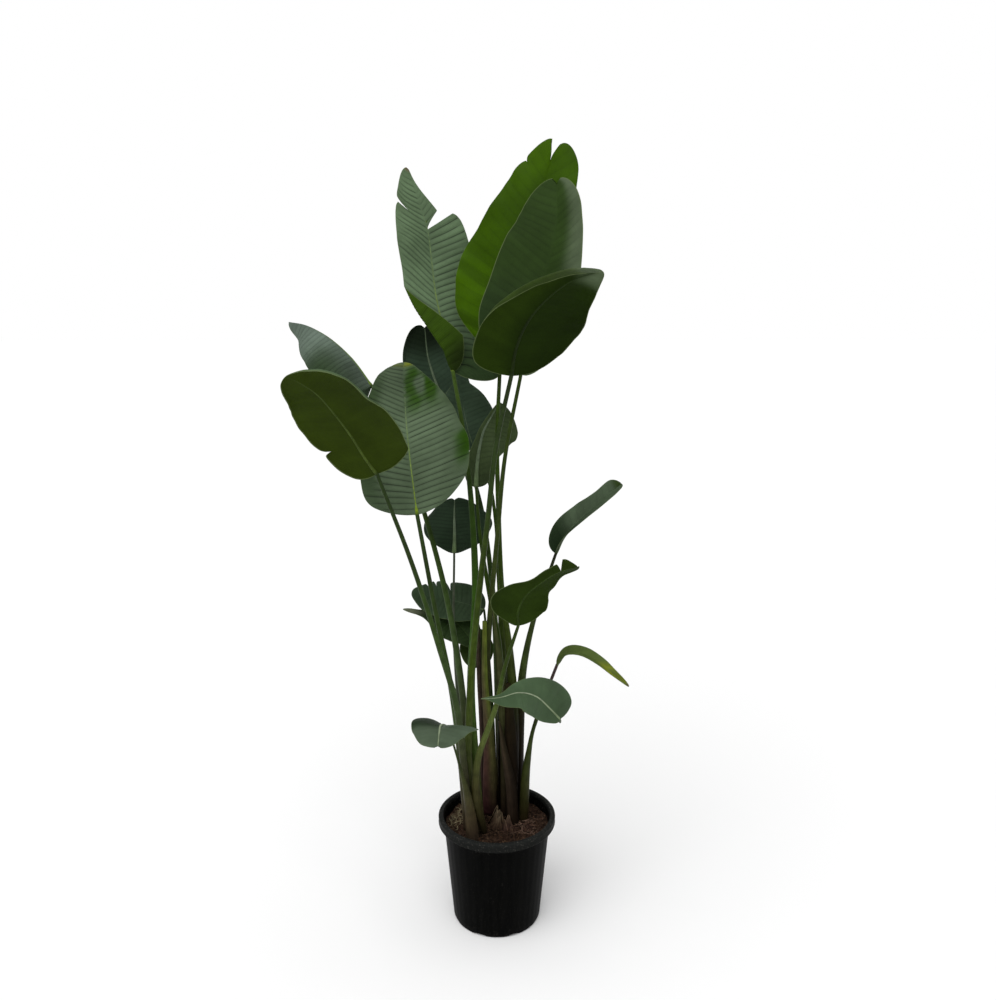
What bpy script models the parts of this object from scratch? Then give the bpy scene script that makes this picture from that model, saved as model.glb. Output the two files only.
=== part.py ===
"""A white bird of paradise, nearly two metres tall, growing in a black nursery pot.

Metres, +Z up. The origin is the middle of the pot's foot, and -Y is the front.
Every leaf is a blade on a stalk. The stalks stand in five clumps, or fans, on the soil.
"""

import math

import bpy
import numpy as np

# Driving sizes
POT_HEIGHT = 0.285
RIM_RADIUS = 0.150
MOUTH_RADIUS = 0.138
FOOT_RADIUS = 0.112
WALL = 0.0025
FLOOR = 0.004
FOOT_CURVE = 0.006
RIM_DEPTH = 0.022
RIM_EDGE = 0.004
DRAIN_COUNT = 8
DRAIN_SIZE = (0.022, 0.030, 0.012)
SOIL_TOP = 0.262
SOIL_SINK = 0.006
SOIL_SLOPE = 0.016
FIT = 0.0003
BLADE_GAP = 0.0008

POT_SIDES = 48
STALK_SIDES = 8
STALK_RINGS = 10
BLADE_ROWS = 8
BLADE_COLUMNS = 6
BLADE_THICKNESS = 0.0014
END_WIDTH = 0.004
LEAST_TURN = 0.01

FOOT = SOIL_TOP + FIT

# Colours, roughness
FINISHES = {
    "pot": ((0.022, 0.024, 0.025), 0.55),
    "soil": ((0.060, 0.035, 0.022), 0.95),
    "blade": ((0.045, 0.110, 0.035), 0.40),
    "stalk": ((0.110, 0.190, 0.050), 0.45),
    "sheath": ((0.090, 0.065, 0.040), 0.70),
}

# Each leaf: the stalk's route from the soil to the blade, its radius at the soil, halfway
# and under the blade, the blade's midrib from base to tip, the way its upper face looks at
# the base and at the tip, its half widths at 7, 25, 50, 75 and 93 % of its length on the
# side to the left and to the right of the midrib as its upper face is looked at with the tip
# up, the angle at which the left and the right half rise from the midrib at the base and at
# the tip, how far the left and the right margin are turned back towards the underside at the
# base and at the tip, in degrees, and how far the lobes reach back beside the stalk.
LEAVES = {
    # left fan
    "far_left_leaf": {
        "stalk": [(-0.066, -0.054, FOOT), (-0.080, -0.080, 0.45), (-0.099, -0.112, 0.645),
                  (-0.131, -0.147, 0.785), (-0.187, -0.220, 1.02), (-0.246, -0.300, 1.229)],
        "radius": (0.008, 0.0065, 0.004),
        "midrib": [(-0.246, -0.300, 1.229), (-0.266, -0.310, 1.260), (-0.290, -0.330, 1.309),
                   (-0.316, -0.360, 1.357), (-0.347, -0.400, 1.406), (-0.390, -0.445, 1.443)],
        "face": ((0.3, 0.9, 0.2), (0.1, 0.8, 0.5)),
        "left": (0.075, 0.105, 0.098, 0.072, 0.046),
        "right": (0.060, 0.085, 0.080, 0.065, 0.040),
        "rise": ((10, 10), (10, 10)),
        "turned": ((20, 30), (20, 30)),
        "lobe": (0.020, 0.010),
    },
    "broad_left_leaf": {
        "stalk": [(-0.074, -0.037, FOOT), (-0.088, -0.054, 0.45), (-0.106, -0.072, 0.63),
                  (-0.147, -0.115, 0.895), (-0.177, -0.160, 1.11)],
        "radius": (0.008, 0.0065, 0.0045),
        "midrib": [(-0.177, -0.160, 1.110), (-0.194, -0.120, 1.225), (-0.205, -0.080, 1.310),
                   (-0.211, -0.040, 1.375), (-0.217, 0.010, 1.435)],
        "face": ((0.1, -0.9, 0.3), (0.1, -0.8, 0.5)),
        "left": (0.080, 0.105, 0.100, 0.085, 0.055),
        "right": (0.095, 0.130, 0.115, 0.085, 0.045),
        "rise": ((15, 5), (15, 5)),
        "turned": ((15, 15), (15, 15)),
        "lobe": (0.005, 0.000),
    },
    "upper_left_leaf": {
        "stalk": [(-0.057, -0.036, FOOT), (-0.073, -0.037, 0.45), (-0.086, -0.014, 0.62),
                  (-0.121, 0.003, 0.855), (-0.177, 0.026, 1.075), (-0.230, 0.045, 1.24),
                  (-0.299, 0.060, 1.375)],
        "radius": (0.008, 0.007, 0.004),
        "midrib": [(-0.299, 0.060, 1.375), (-0.352, 0.080, 1.443), (-0.419, 0.090, 1.498),
                   (-0.461, 0.090, 1.518), (-0.495, 0.080, 1.525)],
        "face": ((0.3, -0.7, 0.6), (0.1, -0.7, 0.6)),
        "left": (0.060, 0.100, 0.110, 0.080, 0.035),
        "right": (0.040, 0.070, 0.075, 0.060, 0.030),
        "rise": ((10, 5), (-60, -60)),
        "turned": ((20, 20), (30, 30)),
        "lobe": (0.000, 0.000),
    },
    "high_left_leaf": {
        "stalk": [(-0.040, -0.034, FOOT), (-0.055, -0.020, 0.45), (-0.064, -0.014, 0.60),
                  (-0.052, -0.010, 0.90), (-0.065, 0.000, 1.15), (-0.080, 0.010, 1.28),
                  (-0.103, 0.030, 1.411)],
        "radius": (0.008, 0.0075, 0.0045),
        "midrib": [(-0.103, 0.030, 1.411), (-0.119, 0.050, 1.473), (-0.134, 0.080, 1.538),
                   (-0.144, 0.100, 1.579), (-0.158, 0.135, 1.682), (-0.165, 0.150, 1.734),
                   (-0.185, 0.170, 1.801), (-0.213, 0.190, 1.884)],
        "face": ((0.1, -0.9, 0.3), (0.1, -0.9, 0.2)),
        "left": (0.075, 0.095, 0.086, 0.075, 0.042),
        "right": (0.100, 0.115, 0.102, 0.062, 0.022),
        "rise": ((10, 5), (-4, 5)),
        "turned": ((-230, 10), (10, 10)),
        "lobe": (0.000, 0.045),
    },
    "high_front_leaf": {
        "stalk": [(-0.048, -0.052, FOOT), (-0.070, -0.062, 0.46), (-0.065, -0.077, 0.63),
                  (-0.044, -0.108, 0.885), (-0.020, -0.139, 1.093), (-0.001, -0.169, 1.267),
                  (0.031, -0.200, 1.421)],
        "radius": (0.008, 0.0075, 0.0045),
        "midrib": [(0.031, -0.200, 1.421), (0.040, -0.220, 1.477), (0.060, -0.250, 1.529),
                   (0.098, -0.290, 1.579), (0.146, -0.330, 1.616), (0.199, -0.380, 1.634)],
        "face": ((-0.2, 0.9, 0.4), (-0.1, 0.7, 0.7)),
        "left": (0.080, 0.125, 0.105, 0.060, 0.022),
        "right": (0.065, 0.090, 0.075, 0.045, 0.020),
        "rise": ((20, 10), (20, 20)),
        "turned": ((20, 20), (20, 20)),
        "lobe": (0.000, 0.000),
    },
    "round_leaf": {
        "stalk": [(-0.066, -0.019, FOOT), (-0.088, -0.002, 0.49), (-0.100, 0.012, 0.63),
                  (-0.107, 0.027, 0.745), (-0.106, 0.060, 0.960)],
        "radius": (0.006, 0.0045, 0.003),
        "midrib": [(-0.106, 0.060, 0.960), (-0.106, 0.090, 0.995), (-0.108, 0.130, 1.032),
                   (-0.109, 0.175, 1.070)],
        "face": ((0.0, -0.8, 0.6), (0.0, -0.5, 0.8)),
        "left": (0.030, 0.065, 0.080, 0.070, 0.040),
        "right": (0.030, 0.070, 0.095, 0.085, 0.045),
        "rise": ((10, 0), (10, 0)),
        "turned": ((20, 20), (20, 20)),
        "lobe": (0.000, 0.000),
    },
    "front_left_leaf": {
        "stalk": [(-0.060, -0.073, FOOT), (-0.070, -0.088, 0.37), (-0.084, -0.110, 0.45),
                  (-0.095, -0.138, 0.515), (-0.103, -0.160, 0.560)],
        "radius": (0.006, 0.0035, 0.0025),
        "midrib": [(-0.103, -0.160, 0.560), (-0.118, -0.180, 0.609), (-0.127, -0.220, 0.631),
                   (-0.128, -0.265, 0.634), (-0.128, -0.310, 0.627)],
        "face": ((0.0, 0.3, 0.9), (0.0, -0.2, 1.0)),
        "left": (0.040, 0.075, 0.080, 0.050, 0.020),
        "right": (0.035, 0.060, 0.065, 0.045, 0.020),
        "rise": ((20, 10), (50, 15)),
        "turned": ((20, 20), (20, 20)),
        "lobe": (0.000, 0.000),
    },
    # front fan
    "curled_right_leaf": {
        "stalk": [(-0.031, -0.055, FOOT), (-0.052, -0.085, 0.40), (-0.045, -0.090, 0.485),
                  (-0.024, -0.097, 0.556), (-0.004, -0.107, 0.62), (0.020, -0.130, 0.740),
                  (0.049, -0.170, 0.853)],
        "radius": (0.008, 0.006, 0.0035),
        "midrib": [(0.049, -0.170, 0.853), (0.049, -0.185, 0.896), (0.065, -0.200, 0.934),
                   (0.097, -0.220, 0.970), (0.131, -0.245, 1.001), (0.172, -0.270, 1.022)],
        "face": ((-0.2, 0.9, 0.4), (-0.3, 0.7, 0.6)),
        "left": (0.060, 0.085, 0.070, 0.040, 0.020),
        "right": (0.050, 0.055, 0.025, 0.015, 0.010),
        "rise": ((0, 10), (10, 25)),
        "turned": ((0, 0), (0, 0)),
        "lobe": (0.000, 0.000),
    },
    # middle fan
    "high_middle_leaf": {
        "stalk": [(-0.008, 0.068, FOOT), (-0.022, 0.050, 0.50), (-0.025, 0.034, 0.67),
                  (-0.014, 0.013, 0.846), (0.001, -0.011, 1.018), (0.019, -0.043, 1.218),
                  (0.054, -0.080, 1.413)],
        "radius": (0.009, 0.0065, 0.004),
        "midrib": [(0.054, -0.080, 1.413), (0.093, -0.080, 1.567), (0.109, -0.070, 1.636),
                   (0.130, -0.060, 1.732), (0.132, -0.040, 1.825)],
        "face": ((-0.4, -0.9, 0.0), (-0.4, -0.9, 0.1)),
        "left": (0.090, 0.130, 0.135, 0.110, 0.065),
        "right": (0.060, 0.085, 0.078, 0.068, 0.050),
        "rise": ((15, 10), (15, 10)),
        "turned": ((10, 10), (10, 10)),
        "lobe": (0.000, 0.000),
    },
    "dark_back_leaf": {
        "stalk": [(0.010, 0.094, FOOT), (0.004, 0.102, 0.50), (-0.012, 0.135, 0.85),
                  (-0.040, 0.175, 1.05), (-0.088, 0.170, 1.228)],
        "radius": (0.008, 0.006, 0.004),
        "midrib": [(-0.088, 0.170, 1.228), (-0.125, 0.200, 1.301), (-0.159, 0.230, 1.374),
                   (-0.177, 0.250, 1.429), (-0.187, 0.280, 1.504)],
        "face": ((0.2, -0.9, 0.4), (0.2, -0.8, 0.5)),
        "left": (0.055, 0.080, 0.085, 0.085, 0.060),
        "right": (0.050, 0.075, 0.085, 0.070, 0.045),
        "rise": ((15, 5), (15, 5)),
        "turned": ((10, 10), (10, 10)),
        "lobe": (0.000, 0.000),
    },
    "low_back_leaf": {
        "stalk": [(-0.005, 0.090, FOOT), (-0.012, 0.100, 0.50), (-0.020, 0.108, 0.66),
                  (-0.033, 0.130, 0.788)],
        "radius": (0.006, 0.0045, 0.003),
        "midrib": [(-0.033, 0.130, 0.788), (-0.070, 0.140, 0.798), (-0.122, 0.150, 0.808),
                   (-0.175, 0.150, 0.817), (-0.222, 0.150, 0.830)],
        "face": ((0.0, -0.7, 0.7), (0.0, -0.6, 0.8)),
        "left": (0.035, 0.055, 0.060, 0.050, 0.025),
        "right": (0.035, 0.055, 0.060, 0.050, 0.025),
        "rise": ((15, 10), (15, 10)),
        "turned": ((20, 20), (20, 20)),
        "lobe": (0.000, 0.000),
    },
    "drooping_back_leaf": {
        "stalk": [(-0.022, 0.092, FOOT), (-0.026, 0.090, 0.45), (-0.036, 0.092, 0.60),
                  (-0.059, 0.100, 0.698)],
        "radius": (0.006, 0.0045, 0.003),
        "midrib": [(-0.059, 0.100, 0.698), (-0.080, 0.120, 0.728), (-0.110, 0.140, 0.751),
                   (-0.149, 0.150, 0.762), (-0.189, 0.160, 0.768), (-0.247, 0.160, 0.780)],
        "face": ((0.0, -0.6, 0.8), (0.0, -0.6, 0.8)),
        "left": (0.025, 0.050, 0.045, 0.020, 0.008),
        "right": (0.025, 0.050, 0.045, 0.020, 0.008),
        "rise": ((15, 10), (15, 10)),
        "turned": ((20, 20), (20, 20)),
        "lobe": (0.000, 0.000),
    },
    "lowest_back_leaf": {
        "stalk": [(-0.038, 0.091, FOOT), (-0.041, 0.098, 0.45), (-0.046, 0.103, 0.560),
                  (-0.049, 0.110, 0.636)],
        "radius": (0.006, 0.0045, 0.003),
        "midrib": [(-0.049, 0.110, 0.636), (-0.052, 0.130, 0.664), (-0.055, 0.160, 0.694),
                   (-0.059, 0.190, 0.717)],
        "face": ((0.0, -0.9, 0.4), (0.0, -0.8, 0.6)),
        "left": (0.025, 0.040, 0.045, 0.035, 0.020),
        "right": (0.025, 0.040, 0.045, 0.035, 0.020),
        "rise": ((10, 5), (10, 5)),
        "turned": ((10, 10), (10, 10)),
        "lobe": (0.000, 0.000),
    },
    # right fan
    "high_back_leaf": {
        "stalk": [(0.036, 0.042, FOOT), (0.041, 0.037, 0.55), (0.031, 0.035, 0.715),
                  (0.015, 0.032, 0.850), (0.004, 0.028, 1.080), (0.001, 0.024, 1.260),
                  (0.007, 0.020, 1.407)],
        "radius": (0.013, 0.0085, 0.0045),
        "midrib": [(0.007, 0.020, 1.407), (0.031, 0.020, 1.532), (0.058, 0.020, 1.655),
                   (0.087, 0.025, 1.777), (0.105, 0.030, 1.853), (0.122, 0.035, 1.926)],
        "face": ((-0.3, -0.9, 0.0), (-0.3, -0.9, 0.1)),
        "left": (0.090, 0.130, 0.146, 0.100, 0.045),
        "right": (0.080, 0.110, 0.110, 0.088, 0.060),
        "rise": ((5, 5), (5, 5)),
        "turned": ((-20, 10), (10, 10)),
        "lobe": (0.000, 0.000),
    },
    "bent_leaf": {
        "stalk": [(0.015, 0.056, FOOT), (0.012, 0.056, 0.50), (0.003, 0.060, 0.734),
                  (-0.022, 0.066, 0.874), (-0.042, 0.074, 1.005), (-0.051, 0.080, 1.124)],
        "radius": (0.008, 0.006, 0.0035),
        "midrib": [(-0.051, 0.080, 1.124), (-0.047, 0.085, 1.191), (-0.041, 0.090, 1.228),
                   (-0.031, 0.095, 1.264), (-0.014, 0.100, 1.295), (0.008, 0.100, 1.332)],
        "face": ((-0.2, -0.9, 0.2), (0.1, -0.9, 0.4)),
        "left": (0.025, 0.035, 0.045, 0.040, 0.020),
        "right": (0.030, 0.035, 0.065, 0.085, 0.055),
        "rise": ((30, 10), (5, 5)),
        "turned": ((10, 10), (10, 10)),
        "lobe": (0.000, 0.000),
    },
    "inner_leaf": {
        "stalk": [(0.036, 0.078, FOOT), (0.022, 0.085, 0.55), (0.004, 0.100, 0.90),
                  (-0.003, 0.112, 1.03), (-0.020, 0.122, 1.13), (-0.057, 0.130, 1.209)],
        "radius": (0.007, 0.0055, 0.0035),
        "midrib": [(-0.057, 0.130, 1.209), (-0.072, 0.140, 1.258), (-0.085, 0.160, 1.318),
                   (-0.093, 0.190, 1.378)],
        "face": ((0.2, -0.9, 0.3), (0.2, -0.8, 0.5)),
        "left": (0.030, 0.045, 0.050, 0.045, 0.020),
        "right": (0.040, 0.070, 0.075, 0.060, 0.030),
        "rise": ((10, 5), (10, 5)),
        "turned": ((10, 10), (10, 10)),
        "lobe": (0.000, 0.000),
    },
    "long_right_leaf": {
        "stalk": [(0.054, 0.055, FOOT), (0.058, 0.048, 0.50), (0.066, 0.032, 0.661),
                  (0.090, 0.018, 0.795), (0.118, 0.008, 0.894), (0.143, 0.000, 0.976)],
        "radius": (0.009, 0.0065, 0.0035),
        "midrib": [(0.143, 0.000, 0.976), (0.161, 0.010, 1.012), (0.195, 0.020, 1.050),
                   (0.231, 0.030, 1.082), (0.266, 0.040, 1.110), (0.305, 0.050, 1.138)],
        "face": ((-0.4, -0.7, 0.5), (-0.3, -0.7, 0.6)),
        "left": (0.022, 0.030, 0.028, 0.022, 0.012),
        "right": (0.025, 0.032, 0.035, 0.025, 0.012),
        "rise": ((40, 20), (40, 30)),
        "turned": ((0, 0), (0, 0)),
        "lobe": (0.000, 0.000),
    },
    # small right fan
    "narrow_right_leaf": {
        "stalk": [(0.072, 0.034, FOOT), (0.079, 0.012, 0.447), (0.098, -0.006, 0.545),
                  (0.120, -0.022, 0.619), (0.147, -0.040, 0.706)],
        "radius": (0.006, 0.004, 0.0025),
        "midrib": [(0.147, -0.040, 0.706), (0.169, -0.070, 0.748), (0.206, -0.110, 0.761),
                   (0.241, -0.140, 0.750), (0.271, -0.160, 0.730), (0.305, -0.170, 0.705)],
        "face": ((-0.6, -0.4, 0.6), (0.3, -0.4, 0.8)),
        "left": (0.010, 0.016, 0.016, 0.012, 0.006),
        "right": (0.015, 0.022, 0.024, 0.018, 0.008),
        "rise": ((30, 20), (20, 20)),
        "turned": ((0, 0), (0, 0)),
        "lobe": (0.000, 0.000),
    },
    "front_right_leaf": {
        "stalk": [(0.068, 0.010, FOOT), (0.078, -0.012, 0.44), (0.094, -0.032, 0.54),
                  (0.113, -0.065, 0.597), (0.135, -0.108, 0.607), (0.150, -0.145, 0.603),
                  (0.154, -0.164, 0.612), (0.147, -0.175, 0.626)],
        "radius": (0.006, 0.0045, 0.003),
        "midrib": [(0.147, -0.175, 0.626), (0.121, -0.188, 0.660), (0.101, -0.203, 0.685),
                   (0.082, -0.215, 0.706), (0.059, -0.235, 0.721), (0.031, -0.260, 0.732),
                   (0.007, -0.280, 0.726), (-0.034, -0.300, 0.733)],
        "face": ((0.3, -0.7, 0.6), (-0.1, -0.7, 0.7)),
        "left": (0.025, 0.050, 0.060, 0.040, 0.004),
        "right": (0.045, 0.065, 0.045, 0.014, 0.003),
        "rise": ((10, 5), (10, 5)),
        "turned": ((20, 20), (20, 20)),
        "lobe": (0.022, 0.035),
    },
}

# Old leaf bases that stand on the soil: the route from the soil up, and the radius at the
# soil, halfway and at the top
OLD_BASES = {
    "cut_base_brown": {
        "route": [(-0.040, 0.055, FOOT), (-0.036, 0.042, 0.48), (-0.044, 0.032, 0.65),
                  (-0.047, 0.030, 0.770)],
        "radius": (0.007, 0.007, 0.004),
    },
    "cut_base_green": {
        "route": [(-0.018, 0.044, FOOT), (-0.020, 0.025, 0.48), (-0.030, 0.012, 0.65),
                  (-0.030, 0.010, 0.800)],
        "radius": (0.009, 0.009, 0.005),
    },
    "pointed_base": {
        "route": [(0.020, 0.033, FOOT), (0.022, 0.020, 0.45), (0.010, 0.014, 0.65),
                  (-0.009, 0.010, 0.828)],
        "radius": (0.006, 0.007, 0.0015),
    },
    "old_sheath": {
        "route": [(0.038, 0.017, FOOT), (0.038, 0.008, 0.42), (0.033, 0.002, 0.54),
                  (0.028, 0.000, 0.640)],
        "radius": (0.009, 0.011, 0.004),
    },
    "leaning_sheath": {
        "route": [(0.042, -0.006, FOOT), (0.034, -0.010, 0.38), (0.020, -0.012, 0.46),
                  (0.006, -0.013, 0.545)],
        "radius": (0.005, 0.004, 0.0015),
    },
    "dry_stub": {
        "route": [(-0.004, -0.018, FOOT), (0.000, -0.018, 0.285), (0.006, -0.020, 0.312)],
        "radius": (0.018, 0.011, 0.002),
    },
    "bulb_stub": {
        "route": [(0.028, -0.032, FOOT), (0.028, -0.031, 0.273), (0.026, -0.028, 0.290)],
        "radius": (0.010, 0.014, 0.005),
    },
}


def read_curve(knots, values, places):
    """A smooth curve that has the given values at the knots, read at the places. Between two
    knots it is a cubic, and its slope at a knot follows from the values on both sides."""
    slope = np.gradient(values, knots, axis=0)
    i = np.clip(np.searchsorted(knots, places, side="right") - 1, 0, len(knots) - 2)
    gap = (knots[i + 1] - knots[i])[:, None]
    u = (places - knots[i])[:, None] / gap
    return ((1 + 2 * u) * (1 - u) ** 2 * values[i] + u * (1 - u) ** 2 * gap * slope[i]
            + u * u * (3 - 2 * u) * values[i + 1] + u * u * (u - 1) * gap * slope[i + 1])


def smooth_curve(points, places):
    """A smooth curve through the points, read at places from 0 at the first point to 1 at the
    last, in step with the straight distances between them."""
    points = np.array(points, dtype=float).reshape(len(points), -1)
    length = np.linalg.norm(np.diff(points, axis=0), axis=1)
    knots = np.concatenate([[0.0], np.cumsum(length)]) / length.sum()
    return read_curve(knots, points, places)


def spread(values, places):
    """Values given at even places from 0 to 1, read smoothly at other places."""
    column = np.array(values, dtype=float)[:, None]
    return read_curve(np.linspace(0.0, 1.0, len(values)), column, places)[:, 0]


def unit(vectors):
    """Each vector brought to length 1."""
    return vectors / np.linalg.norm(vectors, axis=-1, keepdims=True)


def finish(name):
    """A Principled material with the colour and roughness that FINISHES gives."""
    material = bpy.data.materials.get(name)
    if material is None:
        colour, roughness = FINISHES[name]
        material = bpy.data.materials.new(name)
        material.use_nodes = True
        shader = material.node_tree.nodes["Principled BSDF"]
        shader.inputs["Base Color"].default_value = (*colour, 1.0)
        shader.inputs["Roughness"].default_value = roughness
        material.diffuse_color = (*colour, 1.0)
    return material


def add_object(name, vertices, faces, material):
    """A new object with its own mesh, shaded smooth."""
    mesh = bpy.data.meshes.new(name)
    mesh.from_pydata([tuple(v) for v in vertices], [], faces)
    mesh.shade_smooth()
    mesh.materials.append(finish(material))
    thing = bpy.data.objects.new(name, mesh)
    bpy.context.scene.collection.objects.link(thing)
    return thing


def stalk(name, route, radius, material, aim=None):
    """A tapering round rod along the route. Its first ring lies level, so that it stands flat
    on the soil, its last one looks along aim, and both ends are closed with one face."""
    places = np.linspace(0.0, 1.0, STALK_RINGS + 1)
    centre = smooth_curve(route, places)
    along = unit(np.gradient(centre, axis=0))
    along[0] = (0.0, 0.0, 1.0)
    if aim is not None:
        along[-1] = unit(np.subtract(*aim))
    across = unit(np.cross(along, (0.0, 1.0, 0.0)))
    other = np.cross(along, across)
    size = spread(radius, places)
    turn = np.linspace(0.0, 2 * math.pi, STALK_SIDES, endpoint=False)
    ring = (np.cos(turn)[None, :, None] * across[:, None, :]
            + np.sin(turn)[None, :, None] * other[:, None, :])
    points = (centre[:, None, :] + size[:, None, None] * ring).reshape(-1, 3)
    n = STALK_SIDES
    faces = [(r * n + k, r * n + (k + 1) % n, (r + 1) * n + (k + 1) % n, (r + 1) * n + k)
             for r in range(STALK_RINGS) for k in range(n)]
    faces.append(tuple(reversed(range(n))))
    faces.append(tuple(STALK_RINGS * n + k for k in range(n)))
    return add_object(name, points, faces, material)


def blade_surface(leaf, rows, columns):
    """The blade's middle surface as a grid of points. Rows run along the midrib, closest
    together at both ends. A half's cross-section is an arc: it leaves the midrib at the angle
    rise and turns back by the angle turned on its way to the margin. The base value of an
    angle fades with the cube of the way still to go to the tip."""
    step = np.linspace(0.0, 1.0, rows + 1)
    place = (1 - np.cos(math.pi * step)) / 2
    centre = smooth_curve(leaf["midrib"], place)
    along = unit(np.gradient(centre, axis=0))
    along[0] = unit(np.subtract(leaf["midrib"][1], leaf["midrib"][0]))
    fade = (1 - place) ** 3
    looks = np.outer(1 - place, leaf["face"][0]) + np.outer(place, leaf["face"][1])
    across = unit(np.cross(along, looks))
    normal = np.cross(across, along)
    signed = np.linspace(-1.0, 1.0, columns + 1)
    on_left = signed[None, :] < 0
    out = np.abs(signed)[None, :]

    def by_side(pair):
        ends = [np.radians(base * fade + tip * (1 - fade)) for base, tip in pair]
        return np.where(on_left, ends[0][:, None], ends[1][:, None])

    half = [np.maximum(spread((0.0, *leaf[side], 0.0), step), 0.0) for side in ("left", "right")]
    width = np.where(on_left, half[0][:, None], half[1][:, None])
    rise = by_side(leaf["rise"])
    turned = by_side(leaf["turned"])
    turned = np.where(np.abs(turned) < LEAST_TURN, LEAST_TURN, turned)
    sideways = (np.sin(rise) - np.sin(rise - turned * out)) / turned
    upwards = (np.cos(rise - turned * out) - np.cos(rise)) / turned
    back = np.where(on_left, *leaf["lobe"]) * out ** 3 * np.sin(math.pi * np.minimum(2 * step, 1))[:, None]
    grid = (centre[:, None, :] + (np.sign(signed) * width * sideways)[..., None] * across[:, None, :]
            + (width * upwards)[..., None] * normal[:, None, :] - back[..., None] * along[:, None, :])
    return grid, along, across


def blade(name, leaf):
    """A thin closed plate on the blade's middle surface. The rows at the very base and tip
    keep a small width, so that the plate's rim is one band all round."""
    grid, along, across = blade_surface(leaf, BLADE_ROWS, BLADE_COLUMNS)
    grid = grid + BLADE_GAP * along[0]
    small = np.linspace(-END_WIDTH, END_WIDTH, BLADE_COLUMNS + 1)[:, None] / 2
    grid[0] = grid[0, BLADE_COLUMNS // 2] + small * across[0]
    grid[-1] = grid[-1, BLADE_COLUMNS // 2] + small * across[-1]
    down = np.gradient(grid, axis=0)
    down[0] = along[0]
    down[-1] = along[-1]
    over = np.gradient(grid, axis=1)
    normal = unit(np.cross(over, down))
    half = BLADE_THICKNESS / 2
    top = (grid + half * normal).reshape(-1, 3)
    bottom = (grid - half * normal).reshape(-1, 3)
    points = np.concatenate([top, bottom])
    rows, columns = BLADE_ROWS + 1, BLADE_COLUMNS + 1
    count = rows * columns
    faces = []
    for r in range(rows - 1):
        for c in range(columns - 1):
            a = r * columns + c
            quad = (a, a + 1, a + columns + 1, a + columns)
            faces.append(quad)
            faces.append(tuple(count + k for k in reversed(quad)))
    rim = ([c for c in range(columns)]
           + [r * columns + columns - 1 for r in range(1, rows)]
           + [(rows - 1) * columns + c for c in range(columns - 2, -1, -1)]
           + [r * columns for r in range(rows - 2, 0, -1)])
    for a, b in zip(rim, rim[1:] + rim[:1]):
        faces.append((b, a, count + a, count + b))
    return add_object(name, points, faces, "blade")


def turned_solid(name, profile, material, sides=POT_SIDES):
    """A solid of revolution: the closed profile, given as radius and height, carried round Z.
    Points at radius 0 become one vertex."""
    points, index = [], []
    for radius, height in profile:
        if radius == 0.0:
            index.append([len(points)] * sides)
            points.append((0.0, 0.0, height))
        else:
            index.append([len(points) + k for k in range(sides)])
            turn = np.linspace(0.0, 2 * math.pi, sides, endpoint=False)
            points += [(radius * math.cos(t), radius * math.sin(t), height) for t in turn]
    faces = []
    for lower, upper in zip(index, index[1:]):
        for k in range(sides):
            n = (k + 1) % sides
            quad = (lower[k], lower[n], upper[n], upper[k])
            faces.append(tuple(dict.fromkeys(quad)))
    return add_object(name, points, faces, material)


def wall_radius(height):
    """The pot's outside radius at a height: a straight taper from foot to mouth."""
    return FOOT_RADIUS + (MOUTH_RADIUS - FOOT_RADIUS) * height / POT_HEIGHT


def make_pot():
    """The pot's thin shell with its rolled rim, and drain notches cut round the foot."""
    below_rim = POT_HEIGHT - RIM_DEPTH
    inside = MOUTH_RADIUS - WALL
    profile = [(0.0, 0.0), (FOOT_RADIUS - FOOT_CURVE, 0.0), (FOOT_RADIUS, FOOT_CURVE),
               (wall_radius(below_rim), below_rim),
               (RIM_RADIUS - RIM_EDGE / 4, below_rim), (RIM_RADIUS, below_rim + RIM_EDGE),
               (RIM_RADIUS, POT_HEIGHT - RIM_EDGE), (RIM_RADIUS - RIM_EDGE, POT_HEIGHT),
               (MOUTH_RADIUS, POT_HEIGHT), (inside, POT_HEIGHT - RIM_EDGE),
               (wall_radius(FLOOR) - WALL, FLOOR), (0.0, FLOOR)]
    pot = turned_solid("pot", profile, "pot")
    for k in range(DRAIN_COUNT):
        turn = 2 * math.pi * (k + 0.5) / DRAIN_COUNT
        bpy.ops.mesh.primitive_cube_add(size=1.0)
        cutter = bpy.context.object
        cutter.name = f"drain_cutter_{k + 1}"
        cutter.scale = DRAIN_SIZE
        cutter.rotation_euler = (0.0, 0.0, turn - math.pi / 2)
        cutter.location = (FOOT_RADIUS * math.cos(turn), FOOT_RADIUS * math.sin(turn), 0.0)
        cutter.hide_render = True
        cutter.display_type = "WIRE"
        cut = pot.modifiers.new(f"drain_{k + 1}", "BOOLEAN")
        cut.operation = "DIFFERENCE"
        cut.solver = "EXACT"
        cut.object = cutter


def make_soil():
    """The soil fills the pot, with a flat top where the stalks stand and a low edge."""
    gap = WALL + 2 * FIT
    bottom = FLOOR + FIT
    edge = SOIL_TOP - SOIL_SINK
    profile = [(0.0, bottom), (wall_radius(bottom) - gap, bottom),
               (wall_radius(edge) - gap, edge), (wall_radius(edge) - SOIL_SLOPE, SOIL_TOP),
               (0.0, SOIL_TOP)]
    turned_solid("soil", profile, "soil")


def main():
    for thing in list(bpy.data.objects):
        bpy.data.objects.remove(thing)
    make_pot()
    make_soil()
    for name, leaf in LEAVES.items():
        aim = leaf["midrib"][1], leaf["midrib"][0]
        stalk(f"{name}_stalk", leaf["stalk"], leaf["radius"], "stalk", aim)
        blade(f"{name}_blade", leaf)
    for name, base in OLD_BASES.items():
        stalk(name, base["route"], base["radius"], "sheath")


main()
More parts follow.
